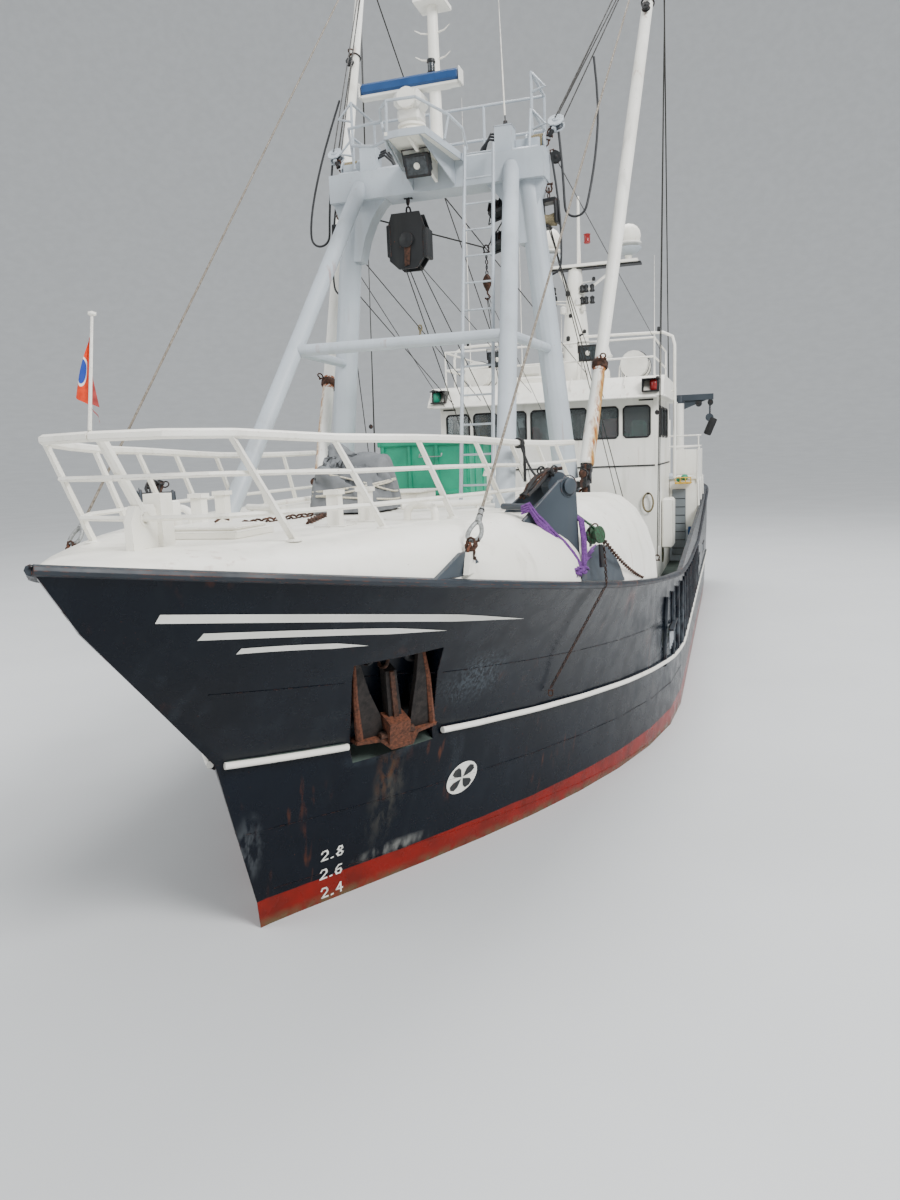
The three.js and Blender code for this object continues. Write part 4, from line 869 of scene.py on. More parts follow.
fittings = []
for side in (1, -1):
    eye = Vector((9.34, side * 1.912, 3.22))
    fittings += shackle(eye - Vector((0, 0, 0.03)), (0, 0, 1), 0.085)
    fittings += shackle(by(eye, -0.01, 0, 0.05), (-0.3, 0, 1), 0.08)
    fin = [(9.78, 1.735, 3.08), (9.6, 1.79, 3.165), (9.44, 1.84, 3.245), (9.33, 1.885, 3.25),
        (9.12, 1.945, 3.05)]
    fittings.append((plate([(x, side * y, z) for x, y, z in fin], (0.012, side * 0.035, 0)), SLATE))
piece("eye_plates_and_shackles", "ship", fittings)

doubler = []
edge = ((7.62, 2.8), (7.44, 2.94), (7.167, 3.03), (6.85, 3.03), (6.6, 2.975), (6.32, 2.74), (6.2, 2.56))
for side in (1, -1):
    rows = []
    for i in range(36):
        x = 7.62 - 1.42 * i / 35
        high = next(z0 + (z1 - z0) * (x - x0) / (x1 - x0) for (x0, z0), (x1, z1) in zip(edge, edge[1:])
            if x0 >= x >= x1 - 1e-6)
        low = rail_line(x).z + 0.02
        row = []
        for k in range(15):
            z = low + (max(high, low + 0.02) - low) * k / 14
            at, normal = look_inboard(WHALEBACK_TREE, x, z, side)
            row.append(at + normal * 0.012 if at else Vector((x, side * rail_line(x).y, z)))
        rows.append(row[::-side])
    doubler.append((grid(rows), SLATE))
piece("doubler_plates", "ship", doubler)


BRACKET_FACE = (0.595, 0.804, 0)      # the bow bracket's plane looks this way, to port


def bracket_point(s, n, z):
    """From the bow bracket's plane (along, behind, height) to the ship's frame, port side."""
    return Vector((8.05 - 0.804 * s - 0.595 * n, 2.06 + 0.595 * s - 0.804 * n, z))


def bracket_path(*points):
    """Several points given in the bow bracket's plane."""
    return [bracket_point(*point) for point in points]


random.seed(3)
heads = [turned([(0, 0.055), (0.006, 0.075), (0.02, 0.075), (0.03, 0.05), (0.03, 0)],
    bracket_point(0.544, -0.012, 3.665), bracket_point(0.544, -0.2, 3.665), 20),
    ring(bracket_point(0.544, -0.004, 3.665), BRACKET_FACE, 0.2, 0.012, 28),
    tube([bracket_point(s, 0.012, z) for s, z in ((-0.02, 3.37), (0.43, 3.71), (0.55, 3.738), (0.64, 3.68))],
    0.016, 6)]
heads += [tube([bracket_point(s, n, z), bracket_point(t, 0.34, z)], 0.03, 8)
    for s, t, n, z in ((0.05, 0.02, 0.01, 3.5), (0.6, 0.6, 0.02, 3.1))]
tangle = both_sides(coat(SLATE, *heads))
for side in (1, -1):
    heap = []
    for k in range(7):
        path = [bracket_point(0.1 + 0.085 * j + random.uniform(-0.03, 0.03), 0.17
            + random.uniform(-0.12, 0.12), 3.55 + 0.24 * min(1, j / 4) + random.uniform(0, 0.05))
            for j in range(7)]
        heap.append((tube(eased(path), 0.011 if k % 2 else 0.016, 6), BLACK if k % 3 else RUST))
    for k in range(8):
        spot = bracket_point(0.5 + random.uniform(-0.12, 0.1), 0.17 + random.uniform(-0.12, 0.12), 3.79
            + random.uniform(-0.01, 0.035))
        aim = Vector((random.uniform(-1, 1), random.uniform(-1, 1), random.uniform(-0.4, 0.4)))
        heap.append((ring(spot, aim, 0.075, 0.018, 12, 5), DARK))
    tangle += to_side(heap, side)
piece("bracket_heads_and_chain_heap", "ship", tangle)

sling = []
for k in range(4):
    lift, twist = 0.022 * k, 0.012 * math.sin(k * 2.1)
    front = bracket_path((-0.02, 0.03, 3.44 + lift), (0.03, -0.03, 3.47 + lift),
        (0.11, -0.04 - twist, 3.36 + lift), (0.21, -0.045, 3.26 + lift * 1.2),
        (0.33, -0.045 - twist, 3.165 + lift), (0.44, -0.05, 3.08 + lift), (0.54, -0.06, 2.985 + lift * 0.8),
        (0.62, -0.065, 2.9 + lift * 0.5), (0.64 - 0.02 * k, -0.07, 2.84))
    sling.append((tube(front, [0.01, 0.014, 0.018, 0.02, 0.018, 0.018, 0.016, 0.015, 0.012], 6), PURPLE))
    back = bracket_path((0.655, 0.05, 3.4), (0.67 + lift * 0.5, -0.02, 3.33),
        (0.68 + lift * 0.4, -0.045, 3.15), (0.67 + lift * 0.5, -0.055, 2.98),
        (0.66 + lift * 0.3, -0.065, 2.84))
    sling.append((tube(back, [0.012, 0.018, 0.019, 0.017, 0.013], 6), PURPLE))
random.seed(11)
for k in range(12):
    spot = bracket_point(0.6 + random.uniform(-0.13, 0.12), -0.075 + random.uniform(-0.015, 0.03), 2.85
        + random.uniform(-0.03, 0.05))
    sling.append((ring(spot, (random.uniform(-0.6, 0.6), random.uniform(-0.6, 0.6), 1), 0.1, 0.028, 12, 6),
        PURPLE))
for k in range(4):
    start = bracket_point(0.62, -0.07, 2.86)
    end = on_top(7.42 - 0.13 * k, rail_line(7.42 - 0.13 * k).y - 0.04 - 0.02 * k, 0.02)
    sling.append((tube(sag(start, end, -0.03, 5), [0.019, 0.018, 0.017, 0.016, 0.013, 0.008], 6), PURPLE))
piece("bracket_sling", "ship", sling)

heart = bracket_point(0.82, 0, 3.17)
roller = [(turned([(0, 0.03), (0.01, 0.085), (0.03, 0.085), (0.05, 0.05), (0.08, 0.05), (0.1, 0.085),
    (0.12, 0.085), (0.13, 0.03)], heart, by(heart, 0.3, 0.6, 0.1), 18), GREENISH),
    (plate([by(heart, -0.05, 0, -0.1), by(heart, 0.06, 0, -0.1), by(heart, 0.08, 0, 0.09),
    by(heart, -0.04, 0, 0.12)], (0.006, 0.012, 0)), DARK),
    (tube([by(heart, 0, 0.08, 0.05), bracket_point(0.66, 0.15, 3.45), bracket_point(0.56, 0.17, 3.6)], 0.014,
    6), GREENISH), (tube([by(heart, 0.02, 0.1, -0.08), by(heart, 0.03, 0.12, -0.3)], [0.02, 0.028], 8), DARK)]
roller += shackle(by(heart, -0.05, 0.05, 0.06), (-0.6, -0.3, 0.6), 0.07)
roller += chain((by(heart, 0, 0.12, -0.02), (5.2, rail_line(5.2).y - 0.02, rail_line(5.2).z + 0.03)), 0.066,
    RUST, 0.05)
chain_end = on_side(7.02, 1.55, 1, 0.05)
roller += chain((by(heart, 0, 0.13, -0.05), rail_line(7.1, 1, 0, -0.045)), 0.05, RUST)
roller += chain((rail_line(7.1, 1, -0.01, -0.045), chain_end), 0.05, RUST)
roller += shackle(chain_end - Vector((0, 0, 0.02)), (0, 0, -1), 0.06)
ear = rail_line(6.55, 1, 0.02, 0.1)
roller.append((tube([by(ear, 0.12, 0, 0), by(ear, 0.1, -0.05, 0.12), by(ear, 0, -0.08, 0.17),
    by(ear, -0.1, -0.05, 0.12), by(ear, -0.12, 0, 0)], 0.022, 8), RUST))
piece("bow_roller_and_chains", "ship", roller)

# %% [markdown]
# ## The foredeck
# Everything on the whaleback is white: the rails, the mooring posts with their square caps, a
# vent bent over like a walking stick, a locker and pipes along the deck. Weld beads and flanges
# are what keep such plain parts from looking like toys.

# %% Foredeck gear
deck_gear = []
for x, y in ((9.1, 0.66), (8.6, 0.73)):
    for side in (1, -1):
        deck_gear.append((bar((x - 0.14, side * y - 0.14, 3.436), (x + 0.14, side * y + 0.14, 3.45), 0.004),
            WHITE))
for side in (1, -1):
    hoop = [Vector((8.56, side * (1.24 + 0.13 * math.cos(a)), 3.5 + 0.09 * math.sin(a)))
        for a in (math.pi * k / 8 for k in range(9))]
    hoop = [Vector((8.56, side * 1.37, 3.36))] + hoop + [Vector((8.56, side * 1.11, 3.4))]
    deck_gear.append((tube(hoop, 0.036, 10), WHITE))
    deck_gear.append((tube([(7.52, side * 0.66, 3.5), (7, side * 1.4, 3.5)], 0.035, 10), WHITE))
    for k in (0.1, 0.9):
        at = Vector((7.52, side * 0.66, 3.43)).lerp(Vector((7, side * 1.4, 3.43)), k)
        deck_gear.append((tube([at, by(at, 0, 0, 0.07)], 0.02, 8), WHITE))
    for x in (5.6, 4.9):
        deck_gear.append((upright([(0, 0.1), (0.02, 0.1), (0.02, 0.06), (0.3, 0.06), (0.3, 0.11),
            (0.36, 0.09), (0.38, 0)], (x, side * 1.1, 3.43), 16), WHITE))
deck_gear += [(ring((10.81, y, 3.65), (0, 1, 0), 0.095, 0.022, 20), WHITE) for y in (-0.03, 0.03)]
deck_gear += coat(WHITE, bar((9.62, -0.36, 3.435), (10.2, 0.36, 3.5), 0.01),
    bar((9.66, -0.32, 3.5), (10.16, 0.32, 3.53), 0.012))
deck_gear += coat(RUST, tube([(9.7, 0, 3.55), (9.8, 0, 3.58), (9.9, 0, 3.55)], 0.01, 6))
deck_gear += coat(WHITE, bar((9.72, -0.62, 3.44), (9.98, -0.42, 3.72), 0.012),
    bar((5.2, -0.45, 3.436), (5.9, 0.25, 3.56), 0.012), bar((5.16, -0.49, 3.56), (5.94, 0.29, 3.585), 0.01),
    tube([(4.9, -1.5, 3.5), (6.6, -1.4, 3.5)], 0.03, 8), tube([(4.5, 1.3, 3.5), (6.4, 1.25, 3.5)], 0.025, 8))
for x, y in ((10.25, 0.87), (9.35, 1.21), (8.38, 1.49), (7.44, 1.73), (6.52, 1.84), (5.64, 1.91),
        (4.76, 1.95)):
    for side in (1, -1):
        foot = on_top(x + 0.02, side * y, 0)
        deck_gear.append((upright([(0, 0.062), (0.008, 0.06), (0.012, 0.04), (0.02, 0.034), (0.02, 0)],
            foot, 14), WHITE))
deck_gear.append((turned([(0, 0.012), (0.005, 0.026), (0.02, 0.026), (0.025, 0.01), (0.03, 0)],
    (11.11, 0, 4.955), (11.09, 0, 5.1), 14), WHITE))
piece("foredeck_gear", "ship", deck_gear)

lash = []
knot = Vector((6.85, 1.735, 4.09))
for k in range(5):
    lash.append((ring(knot + Vector((0.022 * (k - 2), 0, 0)), (1, 0.1, 0.15 * (k - 2)), 0.095, 0.02, 14, 6),
        BLACK))
piece("rail_lashing", "ship", lash)

# %% [markdown]
# ## The covered windlass
# The windlass sleeps under a grey coated-canvas cover, roped down round its foot. Cloth over a
# lumpy machine takes its folds from the machine, so a sheet is dropped in a short simulation
# over plain stand-ins for the drum, gearbox and brake, which are then removed.

# %% Windlass cover
def solid(name, shapes):
    """A plain mesh that isn't part of the ship: a collider for the cloth."""
    points, faces = [], []
    for corners, loops in shapes:
        base = len(points)
        points.extend(tuple(p) for p in corners)
        faces.extend([base + k for k in loop] for loop in loops)
    mesh = bpy.data.meshes.new(name)
    mesh.from_pydata(points, [], faces)
    made = bpy.data.objects.new(name, mesh)
    bpy.context.collection.objects.link(made)
    return made


COVER_AT = Vector((7.3, 0.06, 0))
AROUND, UP = 96, 26
points = []
for i in range(UP):
    f = 0.96 * i / (UP - 1) * math.pi / 2
    for k in range(AROUND):
        a = 2 * math.pi * k / AROUND
        gather = 1 + 0.035 * math.sin(9 * a + 2 * f) + 0.03 * math.sin(17 * a)
        reach = math.cos(f) ** 0.42 * gather * (math.cos(a) ** 4 + math.sin(a) ** 4) ** -0.25
        points.append(COVER_AT
            + Vector((0.46 * reach * math.cos(a), 0.4 * reach * math.sin(a), 3.462
            + 0.8 * math.sin(f) ** 0.8)))
points.append(COVER_AT + Vector((0, 0, 4.265)))
faces = [[i * AROUND + k, i * AROUND + (k + 1) % AROUND, (i + 1) * AROUND + (k + 1) % AROUND, (i + 1) * AROUND
    + k] for i in range(UP - 1) for k in range(AROUND)]
faces += [[(UP - 1) * AROUND + k, (UP - 1) * AROUND + (k + 1) % AROUND, UP * AROUND] for k in range(AROUND)]
cover_piece = piece("windlass_cover_cloth", "ship", [((points, faces), CANVAS)], smooth=80)
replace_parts(cover_piece, "windlass_cover")
cover_piece.parent = None
machine = solid("machine", [bar((7.06, -0.26, 3.4), (7.42, 0.02, 4), 0.05),
    tube([(7.2, -0.26, 3.84), (7.2, 0.38, 3.84)], 0.17, 16),
    tube([(7.48, -0.24, 3.7), (7.48, 0.34, 3.7)], 0.15, 16),
    tube([(7.24, -0.12, 3.8), (7.22, -0.17, 4.13)], 0.06, 10),
    tube([(7.3, 0.25, 3.5), (7.28, 0.36, 3.97)], 0.05, 10)])
machine.modifiers.new("collide", "COLLISION")
machine.collision.thickness_outer = 0.012
foot_ring = cover_piece.vertex_groups.new(name="roped")
foot_ring.add(list(range(2 * AROUND)), 1, "REPLACE")
cloth = cover_piece.modifiers.new("cloth", "CLOTH")
cloth.settings.quality = 6
cloth.settings.mass = 0.6
cloth.settings.tension_stiffness = cloth.settings.compression_stiffness = 25
cloth.settings.shear_stiffness = 12
cloth.settings.bending_stiffness = 1.2
cloth.settings.vertex_group_mass = "roped"
cloth.collision_settings.distance_min = 0.01
for step in range(1, 36):
    bpy.context.scene.frame_set(step)
settled = cover_piece.evaluated_get(bpy.context.evaluated_depsgraph_get()).to_mesh()
spots = [v.co.copy() for v in settled.vertices]
cover_piece.modifiers.remove(cloth)
for vertex, spot in zip(cover_piece.data.vertices, spots):
    vertex.co = spot
bpy.data.objects.remove(machine)
bpy.context.scene.frame_set(1)
cover_piece.matrix_world = Matrix.Identity(4)
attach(cover_piece, "ship")
COVER_TREE = tree_of(cover_piece)
ropes = []
for z0, tilt in ((3.6, 0.04), (3.69, -0.07), (3.72, -0.05), (3.76, 0.12)):
    path = []
    for a in angles(40):
        out = Vector((math.cos(a), math.sin(a), 0))
        z = z0 + tilt * math.cos(a + 1)
        hit = COVER_TREE.ray_cast(COVER_AT + Vector((0, 0, z)) + out * 1.2, -out)[0]
        path.append((hit or COVER_AT + Vector((0, 0, z)) + out * 0.5) + out * 0.008)
    ropes.append((tube(eased(path, closed=True), 0.011, 6, closed=True), LINE))
piece("cover_lashing", "ship", ropes)
under = [(tube([(6.72 + 0.1 * k, 0.42 - 0.1 * k, 3.46), (6.8 + 0.1 * k, 0.5 - 0.1 * k, 3.5)], 0.03, 8), RUST)
    for k in range(3)]
under += chain(((7.9, 0, 3.46), (8.9, 0.3, 3.46)), 0.1, RUST)
under += chain(((7.9, -0.15, 3.46), (8.9, -0.35, 3.46)), 0.1, RUST)
piece("anchor_chain_on_deck", "ship", under)

# %% [markdown]
# ## Blocks, lamps and knees on the gantry
# The gantry carries whatever must hang high: pulley blocks for the fishing gear, floodlights
# for night work, and the radar. A block is two cheeks, a sheave and a pin, so one function
# draws every size of it, turned to hang the way its wire pulls.

# %% Gantry gear
LENS = plain_finish("ribbed_lamp_glass", "#3c4246", "#23272a", 0.08, size_mm=40, depth=0.001)
BULB = plain_finish("frosted_lamp_bulb", "#f0ece0", "#d9d5c8", 0.3, size_mm=30)
HOSE = plain_finish("black_hydraulic_hose", "#17181a", "#242629", 0.5, size_mm=22, depth=0.001)


def local(shape, at, along, across=(0, 1, 0)):
    """Turns a shape drawn at the origin so that its X runs along and its Y runs nearly across."""
    x = Vector(along).normalized()
    z = x.cross(Vector(across)).normalized()
    turn = Matrix((x, z.cross(x), z)).transposed()
    return [turn @ Vector(p) + Vector(at) for p in shape[0]], shape[1]


def block(at, along, size, shell, across=(1, 0, 0), wheel=DARK):
    """A pulley block that hangs from at: its head, two cheeks, the sheave between them and its pin."""
    cheek = [(0, 0, -0.2), (0, 0, 0.2), (0.2, 0, 0.42), (0.55, 0, 0.52), (0.9, 0, 0.42), (1.1, 0, 0.16),
        (1.1, 0, -0.16), (0.9, 0, -0.42), (0.55, 0, -0.52), (0.2, 0, -0.42)]
    parts = []
    for s in (-1, 1):
        outline = [Vector(p) * size + Vector((0, s * size * 0.2, 0)) for p in cheek]
        parts.append((plate(outline, (0, s * size * 0.07, 0)), shell))
        parts.append((sideways([(0, 0.2 * size), (0.05 * size, 0.2 * size), (0.06 * size, 0.1 * size),
            (0.1 * size, 0.09 * size), (0.11 * size, 0)], (0.55 * size, s * 0.27 * size, 0), s, 14), shell))
    parts.append((sideways([(0, 0.43 * size), (0.05 * size, 0.44 * size), (0.17 * size, 0.34 * size),
        (0.29 * size, 0.44 * size), (0.34 * size, 0.43 * size)], (0.55 * size, -0.17 * size, 0), 1, 22),
        wheel))
    parts.append((bar((-0.16 * size, -0.16 * size, -0.13 * size), (0.16 * size, 0.16 * size, 0.13 * size),
        0.01), shell))
    return [(local(shape, at, along, across), finish) for shape, finish in parts]


def floodlight(at, aim, size, shell=DARK, lens=LENS):
    """A box floodlight in its yoke: a deep case, a cooling ribbed back, a rim and the lens."""
    parts = [(bar((-0.45 * size, -0.5 * size, -0.4 * size), (0.1 * size, 0.5 * size, 0.4 * size), 0.1 * size),
        shell), (bar((0.06 * size, -0.56 * size, -0.46 * size), (0.16 * size, 0.56 * size, 0.46 * size),
        0.03 * size), shell),
        (bar((0.13 * size, -0.46 * size, -0.36 * size), (0.18 * size, 0.46 * size, 0.36 * size), 0.02 * size),
        lens), (ball((0.17 * size, 0, 0), 0.14 * size, (0.4, 1, 1)), BULB)]
    parts += [(bar((-0.55 * size, (-0.4 + 0.2 * k) * size - 0.02 * size, -0.3 * size),
        (-0.4 * size, (-0.4 + 0.2 * k) * size + 0.02 * size, 0.3 * size), 0.002), shell) for k in range(5)]
    parts.append((tube([(0, s * 0.6 * size, z * size) for s, z in ((-1, 0), (-1, 0.62), (1, 0.62), (1, 0))],
        0.035 * size, 6), shell))
    return [(local(shape, at, aim), finish) for shape, finish in parts]


own = shackle((3.66, 1.5, 8.06), (0, 0.3, 1), 0.09)
own += shackle((3.66, 1.47, 8.02), (0.1, -0.3, -1), 0.08)
own += [(ring((3.61, 1.245 + 0.026 * k, 7.99), (0, 1, 0), 0.235, 0.026, 20), ROPE) for k in range(7)]
own += [(sideways([(0, 0.135), (0.02, 0.14), (0.03, 0.05), (0.03, 0)], (3.61, y, 7.99), way), GREY)
    for y, way in ((1.43, 1), (1.21, -1))]
own += block((3.66, 1.57, 7.86), (0, 0.12, -1), 0.13, DARK, (1, 0.2, 0))
own += shackle((3.68, 1.53, 7.88), (0, 0.1, -1), 0.06)
own += shackle((3.76, 1.5, 7.44), (0, 0, -1), 0.1)
own += chain(((3.76, 1.5, 7.4), (3.74, 1.49, 7.27)), 0.07)
frame_bars = [bar((-0.02, -0.12, -0.1), (0.03, 0.12, 0.1), 0.01),
    bar((0, -0.12, -0.1), (0.34, -0.085, 0.1), 0.01), bar((0, 0.085, -0.1), (0.3, 0.12, 0.1), 0.01),
    bar((0.3, -0.12, -0.1), (0.34, 0, 0.1), 0.01)]
own += [(local(s, (3.72, 1.49, 7.24), (0, 0.05, -1), (0.1, 1, 0)), DARK) for s in frame_bars]
own.append((local(sideways([(0, 0.06), (0.01, 0.085), (0.08, 0.07), (0.16, 0.085), (0.17, 0.06)],
    (0.24, -0.085, 0), 1, 18), (3.72, 1.49, 7.24), (0, 0.05, -1), (0.1, 1, 0)), ROPE))
own += [(bar((3.73, 0.83, 8.165), (3.97, 1.07, 8.185), 0.004), GREY)]
for k in range(3):
    start = Vector((3.76 + 0.05 * k, 0.84, 8.13 - 0.05 * k))
    own.append((tube([start, by(start, 0, -0.1, 0.03), by(start, -0.01, -0.16 - 0.02 * k, -0.06),
        by(start, -0.02, -0.2 - 0.03 * k, -0.17)], 0.017, 7), HOSE))
gear = both_sides(own)
for k in range(2):
    gear += floodlight((3.6, 0.8 + 0.03 * k, 7.22 - 0.4 * k), (-0.8, 0.3, -0.55), 0.27)
    gear.append((tube([(3.62, 0.82, 7.3 - 0.4 * k), (3.7, 1.02, 7.34 - 0.4 * k),
        (3.78, 1.18, 7.34 - 0.4 * k)], 0.018, 6), GREY))
gear += chain(((2.5, 0.29, 6.93), (2.5, 0.29, 6.62)), 0.08, DARK)
gear += shackle((2.5, 0.29, 6.95), (0, 0, 1), 0.1, DARK)
gear += coat(RUST, turned([(0, 0.02), (0.03, 0.045), (0.1, 0.075), (0.16, 0.06), (0.24, 0.02)],
    (2.5, 0.29, 6.64), (2.5, 0.29, 6.3), 12),
    tube([(2.5, 0.29, 6.42), (2.5, 0.29, 6.36), (2.5, 0.33, 6.31), (2.5, 0.29, 6.27), (2.5, 0.25, 6.3)],
    0.014, 6))
piece("gantry_blocks_and_lamps", "ship", gear)

hoist = []
shell_outline = [(-0.26, 0.22), (-0.21, 0.36), (0.19, 0.36), (0.26, 0.16), (0.26, -0.2), (0.13, -0.37),
    (-0.13, -0.37), (-0.26, -0.25)]
for x, grow in ((3.74, 1), (3.83, 0.9), (3.95, 1)):
    outline = [Vector((x, -0.43 + y * grow, 6.9 + z * grow)) for y, z in shell_outline]
    hoist.append((plate(outline, (0.03 if grow == 1 else 0.09, 0, 0)), DARK))
hoist += coat(DARK, bar((3.72, -0.72, 6.7), (3.99, -0.66, 7.12), 0.012),
    bar((3.72, -0.2, 6.66), (3.99, -0.14, 7.05), 0.012),
    turned([(0, 0.1), (0.03, 0.1), (0.035, 0.06), (0.05, 0)], (3.98, -0.43, 6.9), (4.1, -0.43, 6.9)))
hoist += coat(RUST, plate([(3.985, -0.47, 6.56), (3.985, -0.4, 6.58), (3.985, -0.37, 6.88),
    (3.985, -0.46, 6.88)], (0.012, 0, 0)))
hoist += chain(((3.86, -0.43, 7.5), (3.86, -0.43, 7.24)), 0.13, DARK)
hoist += shackle((3.86, -0.43, 7.47), (0, 0, 1), 0.12, DARK)
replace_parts(piece("hoist_block_cheeks", "ship", hoist), "hoist_block")

# %% [markdown]
# ## The radar and the forward mast
# The turning scanner is a blue extrusion with a white underside and moulded ends, on a faceted
# white gearbox. The platform below it is a wedge of plate with a floodlight slung under it. The
# mast behind carries lamps on small shelves, spikes against birds and a whip aerial.

# %% Radar, platform rail and mast lamps
RED_GLASS = plain_finish("red_lamp_glass", "#a3201f", "#5d1414", 0.15, size_mm=20)
scanner = coat(BLUE, bar((4.925, -0.565, 8.375), (5.08, 0.705, 8.51), 0.03))
scanner += coat(GELCOAT, bar((4.935, -0.56, 8.335), (5.07, 0.7, 8.38), 0.012),
    upright([(0, 0.09), (0.04, 0.1), (0.06, 0.08)], (5, 0.07, 8.3), 20))
scanner += [(bar((4.918, y, 8.345), (5.088, y + 0.02, 8.518), 0.025), GELCOAT) for y in (-0.58, 0.7)]
scanner += [(tube([(5.071, -0.55, z), (5.071, 0.69, z)], 0.003, 4), BLUE) for z in (8.41, 8.478)]
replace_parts(piece("radar_scanner_bar", "radar_scanner", scanner), "radar_scanner")
radar = coat(GELCOAT, bar((4.82, -0.11, 8.12), (5.18, 0.25, 8.34), 0.06),
    bar((4.86, -0.07, 7.98), (5.14, 0.21, 8.14), 0.03))
radar += coat(WHITE, upright([(0, 0.21), (0.03, 0.21), (0.04, 0.17), (0.09, 0.15), (0.1, 0.17), (0.13, 0.17),
    (0.14, 0.13)], (5, 0.07, 7.84)))
for a in angles(8):
    radar.append((tube([(5 + 0.19 * math.cos(a), 0.07 + 0.19 * math.sin(a), 7.86),
        (5 + 0.19 * math.cos(a), 0.07 + 0.19 * math.sin(a), 7.885)], 0.012, 6), RUST))
rim = [(4.06, -0.43), (5.27, -0.2), (5.31, 0), (5.29, 0.33), (4.06, 0.46)]
radar += [(plate([(*a, 7.76), (*b, 7.76), (*b, 7.845), (*a, 7.845)],
    Vector((b[1] - a[1], a[0] - b[0], 0)).normalized() * -0.012), GREY) for a, b in zip(rim, rim[1:])]
radar += [(plate([(4.06, y, 7.5), (4.06, y, 7.8), (5.2, y * 0.7, 7.8), (4.9, y * 0.75, 7.72)], (0, 0.012, 0)),
    GREY) for y in (-0.28, 0.3)]
radar += floodlight((4.72, 0.03, 7.6), (0.85, 0, -0.45), 0.3)
hoops = [[(3.98, -1.2, 8.42), (4.5, -0.52, 8.26), (4.95, -0.36, 8.22), (5.25, -0.16, 8.2), (5.28, 0.22, 8.18),
    (4.75, 0.46, 8.12), (4.3, 0.5, 8.1), (4.1, 0.5, 7.9)], [(3.98, -1.15, 8.2), (4.35, -0.7, 8.02),
    (4.6, -0.4, 8), (4.95, -0.33, 8)], [(4.5, -0.52, 8.26), (4.62, -0.4, 7.85)],
    [(5.25, -0.16, 8.2), (5.22, -0.18, 7.85)], [(4.75, 0.46, 8.12), (4.75, 0.4, 7.85)],
    [(3.98, -1.2, 8.42), (3.95, -1.15, 7.9)], [(3.9, 1.28, 7.85), (3.72, 1.27, 8.4)]]
radar += [(tube(line, 0.019, 8), GREY) for line in hoops]
for z in (8.41, 8.86):
    for s in (-1, 1):
        radar.append((tube([(3.67, s * 1.275, z), (3.7, s * 1.46, z - 0.2), (3.67, s * 1.275, z - 0.24)],
            0.019, 8), GREY))
radar.append((sideways([(0, 0), (0, 0.13), (0.03, 0.165), (2.81, 0.165), (2.84, 0.13), (2.84, 0)],
    (3.95, -1.42, 7.76), 1, 28), GREY))
piece("radar_gearbox_and_guard", "ship", radar)

mast = []
for z in (9.1, 9.42, 9.95, 10.3, 10.9, 11.3):
    for s in (-1, 1):
        mast.append((tube([(3.95, 0.05 + s * 0.06, z), (3.97, 0.05 + s * 0.16, z + 0.01),
            (4, 0.05 + s * 0.24, z + 0.05)], [0.012, 0.01, 0.006], 6), WHITE))
for z, x, y in ((8.9, 4.08, 0.05), (9.8, 4.1, -0.02), (9.8, 4.08, 0.18), (10.65, 4.03, 0.05)):
    mast.append((upright([(0, 0.05), (0.03, 0.06), (0.04, 0.045), (0.14, 0.045), (0.15, 0.06), (0.19, 0.05),
        (0.21, 0)], (x, y, z - 0.03), 14), DARK))
    mast.append((upright([(0, 0.048), (0.1, 0.048)], (x, y, z + 0.01), 14), LENS))
mast += [(bar((3.82, -0.24, 8.8), (4.08, 0.34, 8.83), 0.01), WHITE),
    (turned([(0, 0.03), (0.05, 0.028), (0.06, 0.008), (1.45, 0.004)], (3.93, 0.98, 8.18), (3.93, 0.93, 9.8),
    8), DARK), (turned([(0, 0.012), (1.4, 0.004)], (3.93, 0.975, 8.3), (3.93, 0.93, 9.8), 6), WHITE),
    (tube([(3.86, 0.05, 7.95), (3.86, 0, 8.6), (3.86, 0.06, 9.2), (3.87, 0.02, 10), (3.88, 0.05, 11.2)],
    0.009, 6), HOSE)]
piece("forward_mast_lamps", "ship", mast)

# %% [markdown]
# ## Rigging
# Everything that pulls is a straight wire; only hoses and slack ropes hang. Wires that hold a
# derrick ride with it, and those that run down from the gantry stay with the ship. At the
# derrick's foot the paint has gone and rust runs from the band.

# %% Wires
def wire(a, b, radius=0.008):
    """A taut wire from a to b."""
    return tube([a, b], radius, 6), WIRE


standing = [wire((3.86, -0.5, 6.54), (-1.66, -0.75, 2.3)), wire((3.86, -0.44, 6.52), (-1.66, -0.35, 2.3)),
    wire((3.9, -0.28, 6.55), (-1.66, 0.35, 2.3)), wire((3.94, -0.26, 6.56), (-2.6, -0.2, 5.2), 0.006),
    wire((3.86, -1.24, 7.36), (2.5, 0.27, 7.02), 0.011), wire((2.5, 0.31, 7.02), (3.74, 1.12, 7.42), 0.011),
    wire((3.84, -1.28, 6.9), (-2.62, -1.3, 5.1), 0.008), wire((3.84, -1.34, 6.4), (-2.62, -1.9, 5.04), 0.008),
    wire((3.7, 0.02, 7.5), (-6.4, 0.6, 5.5), 0.009), wire((2.5, 0.29, 6.3), (-1.7, 0.2, 2.25), 0.006),
    wire((2.5, 0.28, 6.3), (-1.7, -0.3, 2.3), 0.006), wire((2.5, 0.3, 6.32), (-2.95, 0.5, 3.6), 0.005),
    wire((3.72, 1.49, 6.94), (0.4, 2.2, 2), 0.007), wire((3.7, 1.47, 6.92), (-2.6, 1.3, 5), 0.007),
    wire((3.74, 1.5, 6.93), (1.6, 2.5, 1.95), 0.007), wire((3.66, 1.6, 7.74), (-6.3, 2.15, 6.2), 0.006),
    wire((3.72, -1.49, 6.94), (-2.62, -2.1, 5), 0.007), wire((3.72, -1.5, 6.92), (0.6, -2.4, 2), 0.007)]
